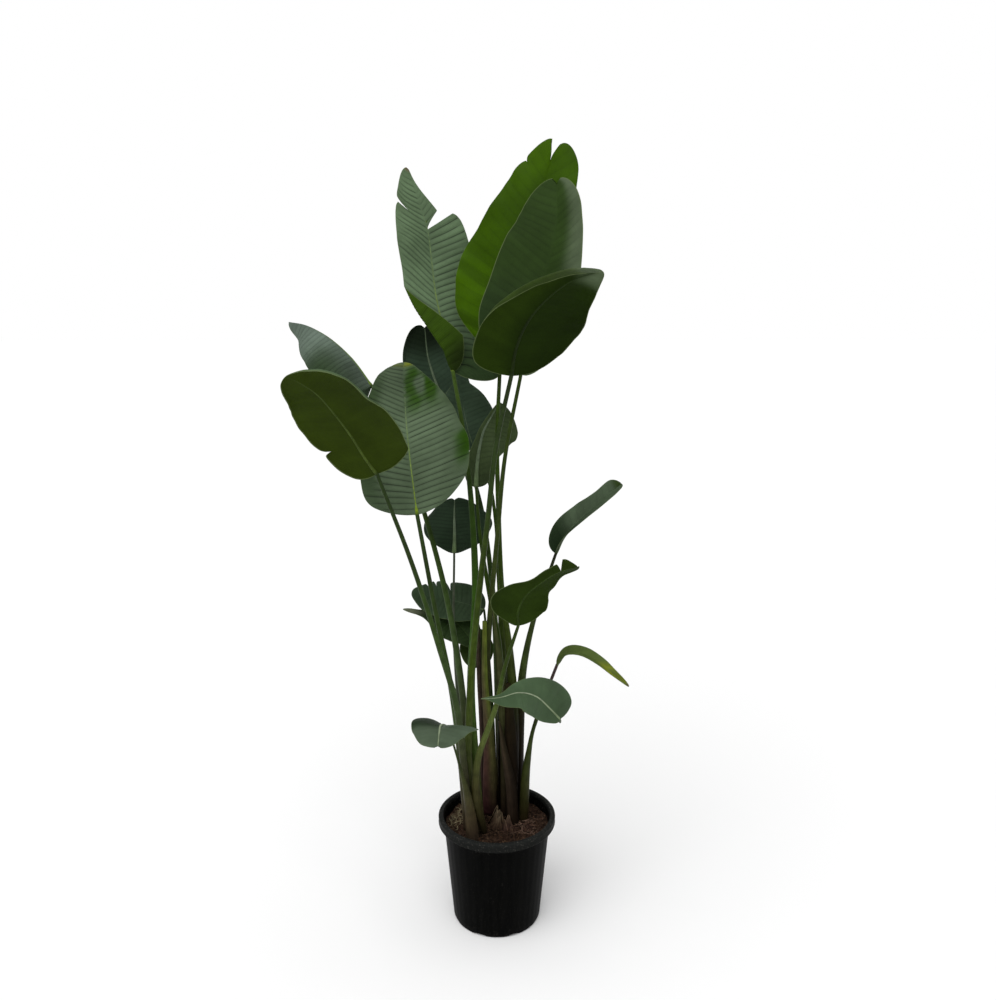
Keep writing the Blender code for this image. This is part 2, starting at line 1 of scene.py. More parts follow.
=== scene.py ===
# %% [markdown]
# # A white bird of paradise in a nursery pot
# The plant is nearly two metres tall: nineteen broad blades on long bare stalks, a few old
# leaf bases, and a black plastic pot of bark soil. Nothing here moves, so the whole lesson
# is about form and finish. Each leaf is a thin sheet worked out from two numbers, how far
# along the midrib a point lies and how far out towards the margin, and numpy works the whole
# sheet out at once. That is quicker than sculpting nineteen leaves, and one formula gives
# them all the same growth: veins, pleats, rolled margins and tears.

# %% Load the measured model
import math

import bmesh
import bpy
import numpy as np
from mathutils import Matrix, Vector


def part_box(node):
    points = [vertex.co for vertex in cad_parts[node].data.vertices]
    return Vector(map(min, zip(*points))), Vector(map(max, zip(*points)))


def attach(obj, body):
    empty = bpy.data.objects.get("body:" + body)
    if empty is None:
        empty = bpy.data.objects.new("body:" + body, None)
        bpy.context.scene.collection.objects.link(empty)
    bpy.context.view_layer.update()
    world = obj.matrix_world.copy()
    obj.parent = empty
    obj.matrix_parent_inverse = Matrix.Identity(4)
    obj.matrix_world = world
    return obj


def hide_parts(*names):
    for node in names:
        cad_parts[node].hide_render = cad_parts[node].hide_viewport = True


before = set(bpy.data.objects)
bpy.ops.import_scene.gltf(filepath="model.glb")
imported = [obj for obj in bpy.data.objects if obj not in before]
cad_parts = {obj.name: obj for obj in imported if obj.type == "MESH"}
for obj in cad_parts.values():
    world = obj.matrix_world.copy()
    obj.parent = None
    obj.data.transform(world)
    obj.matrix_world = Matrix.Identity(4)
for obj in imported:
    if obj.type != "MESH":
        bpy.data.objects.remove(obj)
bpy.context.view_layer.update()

# %% [markdown]
# ## Floor, light and camera
# The floor is one wide pale square. A single sun with a very wide angle is the gentlest
# light there is: like a large softbox overhead, it gives soft shadows and an even floor. The
# world adds a weaker light from all around. Where the camera looks past the floor it sees the
# world as plain white, which a Light Path node keeps apart from the light that falls on the
# plant.

# %% Floor, light and camera
CAMERA_PLACE = (0.003, -2.22, 1.595)
CAMERA_PITCH = math.radians(90.0 - 12.35)
SENSOR_WIDTH = 36.0
LENS = 34.34
SUN_STRENGTH = 2.1
SUN_ANGLE = math.radians(60.0)
SUN_TILT = (math.radians(28.0), math.radians(-14.0), 0.0)
AMBIENT = 0.55
FLOOR_REACH = 30.0
FLOOR_COLOUR = (0.93, 0.93, 0.93, 1.0)
FLOOR_ROUGHNESS = 0.9
WHITE = (1.0, 1.0, 1.0, 1.0)

scene = bpy.context.scene
scene.view_settings.view_transform = "Standard"

camera = bpy.data.objects.new("camera", bpy.data.cameras.new("camera"))
scene.collection.objects.link(camera)
camera.location = CAMERA_PLACE
camera.rotation_euler = (CAMERA_PITCH, 0.0, 0.0)
camera.data.sensor_fit = "HORIZONTAL"
camera.data.sensor_width = SENSOR_WIDTH
camera.data.lens = LENS
scene.camera = camera

sun = bpy.data.objects.new("soft_sun", bpy.data.lights.new("soft_sun", "SUN"))
scene.collection.objects.link(sun)
sun.data.energy = SUN_STRENGTH
sun.data.angle = SUN_ANGLE
sun.rotation_euler = SUN_TILT

world = bpy.data.worlds.new("studio")
scene.world = world
world.use_nodes = True
sky = world.node_tree
background = sky.nodes["Background"]
background.inputs["Color"].default_value = WHITE
background.inputs["Strength"].default_value = AMBIENT
seen = sky.nodes.new("ShaderNodeBackground")
seen.inputs["Color"].default_value = WHITE
chosen = sky.nodes.new("ShaderNodeMixShader")
rays = sky.nodes.new("ShaderNodeLightPath")
sky.links.new(rays.outputs["Is Camera Ray"], chosen.inputs["Fac"])
sky.links.new(background.outputs[0], chosen.inputs[1])
sky.links.new(seen.outputs[0], chosen.inputs[2])
sky.links.new(chosen.outputs[0], sky.nodes["World Output"].inputs["Surface"])

floor_corners = [(x * FLOOR_REACH, y * FLOOR_REACH, 0.0) for x, y in ((-1, -1), (1, -1), (1, 1), (-1, 1))]
floor_mesh = bpy.data.meshes.new("floor")
floor_mesh.from_pydata(floor_corners, [], [(0, 1, 2, 3)])
floor = bpy.data.objects.new("floor", floor_mesh)
scene.collection.objects.link(floor)
floor_finish = bpy.data.materials.new("pale_floor")
floor_finish.use_nodes = True
floor_shader = floor_finish.node_tree.nodes["Principled BSDF"]
floor_shader.inputs["Base Color"].default_value = FLOOR_COLOUR
floor_shader.inputs["Roughness"].default_value = FLOOR_ROUGHNESS
floor_mesh.materials.append(floor_finish)
print("stage ready")

# %% [markdown]
# ## Curves and grids
# Every shape below starts from a curve: a stalk's route, a midrib, or a row of half widths.
# A cubic through a few points is enough, because a plant has no exact arcs. The helpers read
# such a curve at any number of places at once.

# %% Curves
def unit(vectors):
    """Each vector brought to length 1."""
    return vectors / np.linalg.norm(vectors, axis=-1, keepdims=True)


def ramp(values, reach):
    """From 0 to 1 as the values go from 0 to the reach, and level beyond."""
    return np.clip(values / reach, 0.0, 1.0)


def read_curve(knots, values, places):
    """A smooth curve that has the given values at the knots, read at the places. Between two
    knots it is a cubic, and its slope at a knot follows from the values on both sides."""
    slope = np.gradient(values, knots, axis=0)
    i = np.clip(np.searchsorted(knots, places, side="right") - 1, 0, len(knots) - 2)
    gap = (knots[i + 1] - knots[i])[..., None]
    u = (places - knots[i])[..., None] / gap
    return ((1 + 2 * u) * (1 - u) ** 2 * values[i] + u * (1 - u) ** 2 * gap * slope[i]
            + u * u * (3 - 2 * u) * values[i + 1] + u * u * (u - 1) * gap * slope[i + 1])


def smooth_curve(points, places):
    """A smooth curve through the points, read at places from 0 at the first point to 1 at the
    last, in step with the straight distances between them."""
    points = np.array(points, dtype=float)
    length = np.linalg.norm(np.diff(points, axis=0), axis=1)
    knots = np.concatenate([[0.0], np.cumsum(length)]) / length.sum()
    return read_curve(knots, points, places)


def spread(values, places):
    """Values given at even places from 0 to 1, read smoothly at other places."""
    column = np.array(values, dtype=float)[:, None]
    return read_curve(np.linspace(0.0, 1.0, len(values)), column, places)[..., 0]


def curve_length(points):
    """The length of the smooth curve through the points."""
    line = smooth_curve(points, np.linspace(0.0, 1.0, 101))
    return np.linalg.norm(np.diff(line, axis=0), axis=1).sum()


print("curve helpers ready")

# %% [markdown]
# ## From numbers to a mesh
# A sheet is a grid of points, and its faces join each point to its neighbours. Colours that
# follow the growth, such as a stalk that turns from brown to green, are easiest to work out
# beside the points, so they go into the mesh as colour attributes, and the materials read
# them. Points that fall together, at the tip of a blade or the pole of a stub, are merged at
# the end, which closes every seam.

# %% Meshes from grids
MERGE = 1e-5


def grid_faces(rows, columns, start=0, wrap=False, skip_rows=()):
    """The four corners of each face of a grid whose points are numbered row by row. A wrapped
    grid joins its last column to its first, and no faces lead on from a skipped row."""
    index = start + np.arange(rows * columns).reshape(rows, columns)
    if wrap:
        index = np.column_stack([index, index[:, 0]])
    kept = [r for r in range(rows - 1) if r not in skip_rows]
    corners = [index[:-1, :-1], index[:-1, 1:], index[1:, 1:], index[1:, :-1]]
    return np.stack(corners, axis=-1)[kept].reshape(-1, 4)


def make_piece(name, points, faces, materials, tones=None, numbers=None, uv=None, replaces=()):
    """A new piece that rides on the plant: a mesh from points and faces, with colour
    attributes from tones, plain attributes from numbers, and a UV map. Doubles are merged."""
    mesh = bpy.data.meshes.new(name)
    mesh.from_pydata(points.reshape(-1, 3).tolist(), [], faces.tolist())
    for title, colours in (tones or {}).items():
        layer = mesh.color_attributes.new(title, "FLOAT_COLOR", "POINT")
        opaque = np.column_stack([colours.reshape(-1, 3), np.ones(len(mesh.vertices))])
        layer.data.foreach_set("color", opaque.ravel())
    for title, values in (numbers or {}).items():
        layer = mesh.attributes.new(title, "FLOAT", "POINT")
        layer.data.foreach_set("value", np.ascontiguousarray(values, dtype=float).ravel())
    if uv is not None:
        corner_points = np.empty(len(mesh.loops), dtype=int)
        mesh.loops.foreach_get("vertex_index", corner_points)
        layer = mesh.uv_layers.new(name="growth")
        layer.data.foreach_set("uv", uv.reshape(-1, 2)[corner_points].ravel())
    sheet = bmesh.new()
    sheet.from_mesh(mesh)
    bmesh.ops.remove_doubles(sheet, verts=sheet.verts, dist=MERGE)
    sheet.to_mesh(mesh)
    sheet.free()
    mesh.shade_smooth()
    for material in materials:
        mesh.materials.append(material)
    piece = bpy.data.objects.new(name, mesh)
    scene.collection.objects.link(piece)
    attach(piece, "root")
    if replaces:
        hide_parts(*replaces)
    return piece


def wander(points, spacing, seed, waves=24):
    """A smooth random height at each point, between about -1 and 1: the sum of sine waves in
    random directions, whose lengths lie around the spacing."""
    chance = np.random.default_rng(seed)
    way = unit(chance.normal(size=(waves, points.shape[-1])))
    pace = 2 * math.pi / (spacing * chance.uniform(0.7, 1.6, waves))
    start = chance.uniform(0, 2 * math.pi, waves)
    return np.sin(points @ (way * pace[:, None]).T + start).sum(axis=-1) / math.sqrt(waves)


print("mesh helpers ready")

# %% [markdown]
# ## Shader helpers
# A material is a small tree of nodes. A few helpers keep the trees short to write: one adds a
# node and sets or links its sockets, and the others are the nodes that come back again and
# again, such as a mix of two colours, a noise or a bump.

# %% Shader helpers
def add_node(tree, kind, inputs=(), **settings):
    """A new node with its settings, and each input either linked from a socket or given a
    value."""
    node = tree.nodes.new(kind)
    for key, value in settings.items():
        setattr(node, key, value)
    for key, value in dict(inputs).items():
        if isinstance(value, bpy.types.NodeSocket):
            tree.links.new(value, node.inputs[key])
        else:
            node.inputs[key].default_value = value
    return node


def attribute(tree, name, output="Fac"):
    """An attribute of the mesh, as a number, or as a colour from the output Color."""
    return add_node(tree, "ShaderNodeAttribute", attribute_name=name).outputs[output]


def object_place(tree):
    """The point's place in the object's own coordinates."""
    return add_node(tree, "ShaderNodeTexCoord").outputs["Object"]


def blend_colours(tree, factor, first, second, blend="MIX"):
    """The colour between two colours, or sockets of colour."""
    node = add_node(tree, "ShaderNodeMix", {0: factor, 6: first, 7: second},
                    data_type="RGBA", blend_type=blend)
    return node.outputs[2]


def tinted(tree, colour, tint):
    """A colour times a tint."""
    return blend_colours(tree, 1.0, colour, tint, "MULTIPLY")


def colour_ramp(tree, factor, stops):
    """A Color Ramp with the given places and colours."""
    node = add_node(tree, "ShaderNodeValToRGB", {0: factor})
    band = node.color_ramp
    band.elements[0].position, band.elements[0].color = stops[0]
    band.elements[1].position, band.elements[1].color = stops[-1]
    for place, colour in stops[1:-1]:
        band.elements.new(place).color = colour
    return node.outputs[0]


def grey(value):
    """A grey colour."""
    return (value, value, value, 1.0)


def math_node(tree, operation, *values):
    """The result of one Math node."""
    return add_node(tree, "ShaderNodeMath", enumerate(values), operation=operation).outputs[0]


def new_finish(name, roughness, specular):
    """An empty Principled material: the material, its tree and its shader."""
    material = bpy.data.materials.new(name)
    material.use_nodes = True
    shader = material.node_tree.nodes["Principled BSDF"]
    shader.inputs["Roughness"].default_value = roughness
    shader.inputs["Specular IOR Level"].default_value = specular
    return material, material.node_tree, shader


def noise(tree, vector, scale, detail=4.0, roughness=0.55):
    """The grey output of a Noise Texture."""
    return add_node(tree, "ShaderNodeTexNoise",
                    {"Vector": vector, "Scale": scale, "Detail": detail, "Roughness": roughness}
                    ).outputs["Fac"]


def drawn_noise(tree, vector, stretch, scale, detail):
    """Noise drawn out along Z, the smaller the stretch the longer."""
    drawn = add_node(tree, "ShaderNodeMapping", {"Vector": vector, "Scale": (1.0, 1.0, stretch)})
    return noise(tree, drawn.outputs[0], scale, detail)


def bump(tree, shader, height, distance, strength):
    """A Bump node between a height and the shader's normal."""
    node = add_node(tree, "ShaderNodeBump",
                    {"Height": height, "Distance": distance, "Strength": strength})
    tree.links.new(node.outputs[0], shader.inputs["Normal"])


print("shader helpers ready")

# %% [markdown]
# ## Leaf finishes
# The upper face of a blade is waxy: a dull green under a pale bloom, which makes it look
# grey-green. The bloom lies in soft noise patches and also paints a sheen of the sky on the
# face. The underside is more yellow and darker, and light from behind glows through it. Both
# faces have fine veins that leave the midrib side by side, painted shade darkens the creases
# between the pleats, and the pale rim along the margin is partly a painted highlight. The
# blade's UV map counts metres along the midrib in U, so a sine of U draws the veins with
# their true spacing, and they bend wherever the blade bends. A Translucent shader mixed in
# lets light through, which a plain surface could not do.

# %% Leaf finishes
VEIN_SPACING = 0.0026
VEIN_HEIGHT = 0.00012
VEIN_WOBBLE = 0.0030
WOBBLE_SIZE = 30.0
VEIN_SHADES = [(0.0, grey(0.90)), (1.0, grey(1.08))]
BLOOM_SIZE = 9.0
# The bloom tint pales the wax's own colour and also paints a sheen of the sky, in soft noise patches.
BLOOM_AND_SHEEN_TINT = (1.5, 1.35, 1.8, 1.0)
CLOUD_SHADES = [(0.30, grey(0.76)), (0.70, grey(1.18))]
SPECKLE_SIZE = 260.0
# Painted shade: the colour darkens towards each crease between the pleats, where shade falls.
PAINTED_CREASE_SHADE = [(0.0, grey(0.12)), (0.035, grey(0.32)), (0.09, grey(0.82)), (0.35, grey(1.12))]
# The pale rim along the margin is partly the margin's own colour and partly a painted highlight.
RIM_WIDTH = 0.0022
RIM_AND_HIGHLIGHT_TONE = (0.13, 0.17, 0.07, 1.0)
RIM_AND_HIGHLIGHT_STRENGTH = 0.7
GLOW_TINT = (1.9, 2.2, 0.55, 1.0)


def leaf_finish(name, tone, roughness, specular, light_through, bloom_and_sheen, crease):
    """One face of a blade. Its colour is the tone attribute, broken up by a soft bloom that is
    also a painted sheen, lighter veins, painted shade that darkens the creases between the
    pleats, and a pale rim that is partly a painted highlight. The pleat attribute counts
    pleats, so its distance from a whole number is the distance from a crease. light_through
    is the share that shines through."""
    material, tree, shader = new_finish(name, roughness, specular)
    place = add_node(tree, "ShaderNodeTexCoord")
    growth = add_node(tree, "ShaderNodeSeparateXYZ", {0: place.outputs["UV"]})
    place = place.outputs["Object"]
    soft = noise(tree, place, BLOOM_SIZE, 5.0, 0.6)
    speckle = noise(tree, place, SPECKLE_SIZE, 2.0)
    colour = tinted(tree, attribute(tree, tone, "Color"), colour_ramp(tree, soft, CLOUD_SHADES))
    # The bloom: the wax's own pale coat, and a painted sheen of the sky.
    paler = tinted(tree, colour, BLOOM_AND_SHEEN_TINT)
    colour = blend_colours(tree, math_node(tree, "MULTIPLY", soft, bloom_and_sheen), colour, paler)

    wobble = math_node(tree, "MULTIPLY", noise(tree, place, WOBBLE_SIZE), VEIN_WOBBLE)
    along = math_node(tree, "ADD", growth.outputs["X"], wobble)
    vein = math_node(tree, "SINE", math_node(tree, "MULTIPLY", along, 2 * math.pi / VEIN_SPACING))
    level = math_node(tree, "MULTIPLY_ADD", vein, 0.5, 0.5)
    colour = tinted(tree, colour, colour_ramp(tree, level, VEIN_SHADES))
    # Painted shade in the creases: darker near each crease, as strongly as the crease attribute times
    # crease.
    away = math_node(tree, "PINGPONG", attribute(tree, "pleat"), 0.5)
    dark = tinted(tree, colour, colour_ramp(tree, away, PAINTED_CREASE_SHADE))
    crease_shade = math_node(tree, "MULTIPLY", attribute(tree, "crease_shade"), crease)
    colour = blend_colours(tree, crease_shade, colour, dark)
    # The pale rim: partly the margin's own colour, partly a painted highlight.
    rim = math_node(tree, "DIVIDE", attribute(tree, "from_rim"), RIM_WIDTH)
    pale = colour_ramp(tree, rim, [(0.35, grey(1.0)), (1.0, grey(0.0))])
    colour = blend_colours(tree, math_node(tree, "MULTIPLY", pale, RIM_AND_HIGHLIGHT_STRENGTH), colour, RIM_AND_HIGHLIGHT_TONE)
    tree.links.new(colour, shader.inputs["Base Color"])

    rough = colour_ramp(tree, soft, [(0.25, grey(roughness - 0.07)), (0.75, grey(roughness + 0.12))])
    tree.links.new(rough, shader.inputs["Roughness"])
    bump(tree, shader, math_node(tree, "MULTIPLY_ADD", speckle, 0.5, vein), VEIN_HEIGHT, 0.8)
    through = add_node(tree, "ShaderNodeBsdfTranslucent", {"Color": tinted(tree, colour, GLOW_TINT)})
    both = add_node(tree, "ShaderNodeMixShader",
                    {0: light_through, 1: shader.outputs[0], 2: through.outputs[0]})
    tree.links.new(both.outputs[0], tree.nodes["Material Output"].inputs["Surface"])
    return material


upper_finish = leaf_finish("waxy_upper_face", "upper_tone", 0.42, 0.05, 0.12, 0.25, 1.0)
under_finish = leaf_finish("dull_underside", "under_tone", 0.55, 0.03, 0.16, 0.10, 0.4)
print("leaf finishes ready")

# %% [markdown]
# ## The leaves' shapes
# Each leaf is a row of points for its stalk and its midrib, and the half widths of its blade.
# The numbers are metres in the plant's own frame, so the stalks and midribs lie where the
# measured model has them. Only the place where the front right leaf's stalk becomes its
# midrib is a few millimetres away, so that the blade covers it. The outlines are finer than
# the model's plain plates.

# %% Leaves
SOIL_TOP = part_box("soil")[1].z
FOOT = SOIL_TOP - 0.004

# stalk: from the soil to the blade. midrib: the points beyond the stalk's end, up to the tip.
# radius: the stalk's radii at even places. Three make a plain stalk, and more a sheath. neck:
# the midrib's radius at its base, where it isn't the stalk's last one. face: which way the
# upper face looks, at the base and at the tip. left, right: half widths at even places.
# The others are pairs, one for each half. rise: the angle at which it leaves the midrib, in
# degrees, at the base and at the tip. turned: how far it bends down on its way out, in
# degrees, at the base and at the tip. lobe: how far it reaches back past the base.
PLAIN_SHAPE = {"rise": ((10, 5), (10, 5)), "turned": ((20, 20), (20, 20)), "lobe": (0.0, 0.0)}
LEAVES = {
    # left fan
    "far_left_leaf": {
        "stalk": [(-0.066, -0.054, FOOT), (-0.08, -0.08, 0.45), (-0.099, -0.112, 0.645),
                  (-0.131, -0.147, 0.785), (-0.187, -0.22, 1.02), (-0.246, -0.3, 1.229)],
        "midrib": [(-0.266, -0.31, 1.26), (-0.29, -0.33, 1.309), (-0.316, -0.36, 1.357),
                   (-0.347, -0.4, 1.406), (-0.39, -0.445, 1.443)],
        "radius": (0.008, 0.0065, 0.004), "face": ((0.3, 0.9, 0.2), (0.1, 0.8, 0.5)),
        "left": (0.092, 0.118, 0.114, 0.092, 0.052), "right": (0.05, 0.074, 0.092, 0.066, 0.04),
        "rise": ((10, 10), (10, 10)), "turned": ((20, 30), (20, 30)), "lobe": (0.006, 0.01),
    },
    "broad_left_leaf": {
        "stalk": [(-0.074, -0.037, FOOT), (-0.088, -0.054, 0.45), (-0.106, -0.072, 0.63),
                  (-0.147, -0.115, 0.895), (-0.177, -0.16, 1.11)],
        "midrib": [(-0.194, -0.12, 1.225), (-0.205, -0.08, 1.31), (-0.211, -0.04, 1.375),
                   (-0.217, 0.01, 1.435)],
        "radius": (0.008, 0.0065, 0.0045), "face": ((0.1, -0.9, 0.3), (0.1, -0.8, 0.5)),
        "left": (0.096, 0.116, 0.108, 0.082, 0.052), "right": (0.076, 0.13, 0.132, 0.093, 0.042),
        "rise": ((15, 5), (15, 5)), "turned": ((15, 15), (15, 15)), "lobe": (-0.004, -0.006),
    },
    "upper_left_leaf": {
        "stalk": [(-0.057, -0.036, FOOT), (-0.073, -0.037, 0.45), (-0.086, -0.014, 0.62),
                  (-0.121, 0.003, 0.855), (-0.177, 0.026, 1.075), (-0.23, 0.045, 1.24),
                  (-0.299, 0.06, 1.375)],
        "midrib": [(-0.352, 0.08, 1.443), (-0.419, 0.09, 1.498), (-0.461, 0.09, 1.518),
                   (-0.495, 0.08, 1.525)],
        "radius": (0.008, 0.007, 0.004), "face": ((0.3, -0.7, 0.6), (0.1, -0.7, 0.6)),
        "left": (0.11, 0.122, 0.11, 0.08, 0.035), "right": (0.04, 0.07, 0.075, 0.06, 0.03),
        "rise": ((10, 5), (-60, -60)), "turned": ((20, 20), (30, 30)), "lobe": (0.075, 0.0),
    },
    "high_left_leaf": {
        "stalk": [(-0.04, -0.034, FOOT), (-0.055, -0.02, 0.45), (-0.064, -0.014, 0.6),
                  (-0.052, -0.01, 0.9), (-0.065, 0.0, 1.15), (-0.08, 0.01, 1.28),
                  (-0.103, 0.03, 1.411)],
        "midrib": [(-0.119, 0.05, 1.473), (-0.134, 0.08, 1.538), (-0.144, 0.1, 1.579),
                   (-0.158, 0.135, 1.682), (-0.165, 0.15, 1.734), (-0.185, 0.17, 1.801),
                   (-0.213, 0.19, 1.884)],
        "radius": (0.01, 0.0105, 0.01, 0.009, 0.0075, 0.0055, 0.0045),
        "face": ((0.1, -0.9, 0.3), (0.1, -0.9, 0.2)), "left": (0.055, 0.072, 0.073, 0.072, 0.036),
        "right": (0.1, 0.115, 0.106, 0.078, 0.016), "rise": ((10, 5), (-4, 5)),
        "turned": ((10, 10), (10, 10)), "lobe": (0.0, 0.08),
    },
    "high_front_leaf": {
        "stalk": [(-0.048, -0.052, FOOT), (-0.07, -0.062, 0.46), (-0.065, -0.077, 0.63),
                  (-0.044, -0.108, 0.885), (-0.02, -0.139, 1.093), (-0.001, -0.169, 1.267),
                  (0.031, -0.2, 1.421)],
        "midrib": [(0.04, -0.22, 1.477), (0.06, -0.25, 1.529), (0.098, -0.29, 1.579),
                   (0.146, -0.33, 1.616), (0.199, -0.38, 1.634)],
        "radius": (0.008, 0.0075, 0.0045), "face": ((-0.2, 0.9, 0.4), (-0.1, 0.7, 0.7)),
        "left": (0.08, 0.115, 0.115, 0.075, 0.03), "right": (0.08, 0.088, 0.08, 0.056, 0.036),
        "rise": ((20, 10), (20, 20)),
    },
    "round_leaf": {
        "stalk": [(-0.066, -0.019, FOOT), (-0.088, -0.002, 0.49), (-0.1, 0.012, 0.63),
                  (-0.107, 0.027, 0.745), (-0.106, 0.06, 0.96)],
        "midrib": [(-0.106, 0.09, 0.995), (-0.108, 0.13, 1.032), (-0.109, 0.175, 1.07)],
        "radius": (0.006, 0.0055, 0.0045, 0.003, 0.0028), "neck": 0.003,
        "face": ((0.0, -0.8, 0.6), (0.0, -0.5, 0.8)), "left": (0.027, 0.064, 0.08, 0.07, 0.042),
        "right": (0.03, 0.07, 0.095, 0.09, 0.056), "rise": ((10, 0), (10, 0)),
    },
    "front_left_leaf": {
        "stalk": [(-0.06, -0.073, FOOT), (-0.07, -0.088, 0.37), (-0.084, -0.11, 0.45),
                  (-0.095, -0.138, 0.515), (-0.103, -0.16, 0.56)],
        "midrib": [(-0.118, -0.18, 0.609), (-0.127, -0.22, 0.631), (-0.128, -0.265, 0.634),
                   (-0.128, -0.31, 0.627)],
        "radius": (0.017, 0.014, 0.01, 0.005, 0.003, 0.0025),
        "face": ((0.0, 0.3, 0.9), (0.0, -0.2, 1.0)), "left": (0.012, 0.05, 0.088, 0.058, 0.036),
        "right": (0.02, 0.05, 0.066, 0.06, 0.04), "rise": ((10, 5), (50, 15)),
    },
    # front fan
    "curled_right_leaf": {
        "stalk": [(-0.031, -0.055, FOOT), (-0.052, -0.085, 0.4), (-0.045, -0.09, 0.485),
                  (-0.024, -0.097, 0.556), (-0.004, -0.107, 0.62), (0.02, -0.13, 0.74),
                  (0.049, -0.17, 0.853)],
        "midrib": [(0.049, -0.185, 0.896), (0.065, -0.2, 0.934), (0.097, -0.22, 0.97),
                   (0.131, -0.245, 1.001), (0.172, -0.27, 1.022)],
        "radius": (0.008, 0.011, 0.0085, 0.007, 0.006, 0.005, 0.0035),
        "face": ((-0.2, 0.9, 0.4), (-0.3, 0.7, 0.6)), "left": (0.045, 0.068, 0.05, 0.03, 0.03),
        "right": (0.028, 0.07, 0.024, 0.022, 0.027), "rise": ((0, 10), (10, 25)),
        "turned": ((0, 0), (0, 0)),
    },
    # middle fan
    "high_middle_leaf": {
        "stalk": [(-0.008, 0.068, FOOT), (-0.022, 0.05, 0.5), (-0.025, 0.034, 0.67),
                  (-0.014, 0.013, 0.846), (0.001, -0.011, 1.018), (0.019, -0.043, 1.218),
                  (0.054, -0.08, 1.413)],
        "midrib": [(0.093, -0.08, 1.567), (0.109, -0.07, 1.636), (0.13, -0.06, 1.732),
                   (0.132, -0.04, 1.825)],
        "radius": (0.009, 0.0065, 0.004), "face": ((-0.4, -0.9, 0.0), (-0.4, -0.9, 0.1)),
        "left": (0.09, 0.13, 0.124, 0.104, 0.064), "right": (0.045, 0.08, 0.085, 0.066, 0.048),
        "rise": ((15, 10), (15, 10)), "turned": ((10, 10), (10, 10)),
    },
    "dark_back_leaf": {
        "stalk": [(0.01, 0.094, FOOT), (0.004, 0.102, 0.5), (-0.012, 0.135, 0.85),
                  (-0.04, 0.175, 1.05), (-0.088, 0.17, 1.228)],
        "midrib": [(-0.125, 0.2, 1.301), (-0.159, 0.23, 1.374), (-0.177, 0.25, 1.429),
                   (-0.187, 0.28, 1.504)],
        "radius": (0.009, 0.009, 0.0085, 0.007, 0.0055, 0.0045), "neck": 0.004,
        "face": ((0.2, -0.9, 0.4), (0.2, -0.8, 0.5)), "left": (0.055, 0.08, 0.08, 0.074, 0.048),
        "right": (0.05, 0.075, 0.085, 0.065, 0.036), "rise": ((15, 5), (15, 5)),
        "turned": ((10, 10), (10, 10)),
    },
    "low_back_leaf": {
        "stalk": [(-0.005, 0.09, FOOT), (-0.012, 0.1, 0.5), (-0.02, 0.108, 0.66),
                  (-0.033, 0.13, 0.788)],
        "midrib": [(-0.07, 0.14, 0.798), (-0.122, 0.15, 0.808), (-0.175, 0.15, 0.817),
                   (-0.222, 0.15, 0.83)],
        "radius": (0.007, 0.0065, 0.006, 0.004, 0.003, 0.003),
        "face": ((0.0, -0.7, 0.7), (0.0, -0.6, 0.8)), "left": (0.035, 0.055, 0.06, 0.05, 0.025),
        "right": (0.035, 0.055, 0.06, 0.05, 0.025), "rise": ((15, 10), (15, 10)),
    },
    "drooping_back_leaf": {
        "stalk": [(-0.022, 0.092, FOOT), (-0.026, 0.09, 0.45), (-0.036, 0.092, 0.6),
                  (-0.059, 0.1, 0.698)],
        "midrib": [(-0.08, 0.12, 0.728), (-0.11, 0.14, 0.751), (-0.149, 0.15, 0.762),
                   (-0.189, 0.16, 0.768), (-0.247, 0.16, 0.78)],
        "radius": (0.006, 0.0045, 0.003), "face": ((0.0, -0.6, 0.8), (0.0, -0.6, 0.8)),
        "left": (0.025, 0.05, 0.045, 0.013, 0.006), "right": (0.025, 0.05, 0.045, 0.013, 0.006),
        "rise": ((15, 10), (15, 10)),
    },
    "lowest_back_leaf": {
        "stalk": [(-0.038, 0.091, FOOT), (-0.041, 0.098, 0.45), (-0.046, 0.103, 0.56),
                  (-0.049, 0.11, 0.636)],
        "midrib": [(-0.052, 0.13, 0.664), (-0.055, 0.16, 0.694), (-0.059, 0.19, 0.717)],
        "radius": (0.006, 0.0045, 0.003), "face": ((0.0, -0.9, 0.4), (0.0, -0.8, 0.6)),
        "left": (0.025, 0.04, 0.045, 0.035, 0.02), "right": (0.025, 0.04, 0.045, 0.035, 0.02),
        "turned": ((10, 10), (10, 10)),
    },
    # right fan
    "high_back_leaf": {
        "stalk": [(0.036, 0.042, FOOT), (0.041, 0.037, 0.55), (0.031, 0.035, 0.715),
                  (0.015, 0.032, 0.85), (0.004, 0.028, 1.08), (0.001, 0.024, 1.26),
                  (0.007, 0.02, 1.407)],
        "midrib": [(0.031, 0.02, 1.532), (0.058, 0.02, 1.655), (0.087, 0.025, 1.777),
                   (0.104, 0.03, 1.832), (0.12, 0.035, 1.883)],
        "radius": (0.017, 0.0165, 0.0155, 0.011, 0.0068, 0.0062, 0.0058, 0.005, 0.0045),
        "face": ((-0.3, -0.9, 0.0), (-0.3, -0.9, 0.1)),
        "left": (0.03, 0.128, 0.146, 0.104, 0.066), "right": (0.08, 0.11, 0.11, 0.095, 0.066),
        "rise": ((5, 5), (5, 5)), "turned": ((-20, 10), (10, 10)),
    },
    "bent_leaf": {
        "stalk": [(0.015, 0.056, FOOT), (0.012, 0.056, 0.5), (0.003, 0.06, 0.734),
                  (-0.022, 0.066, 0.874), (-0.042, 0.074, 1.005), (-0.051, 0.08, 1.124)],
        "midrib": [(-0.047, 0.085, 1.191), (-0.041, 0.09, 1.228), (-0.031, 0.095, 1.264),
                   (-0.014, 0.1, 1.295), (0.008, 0.1, 1.332)],
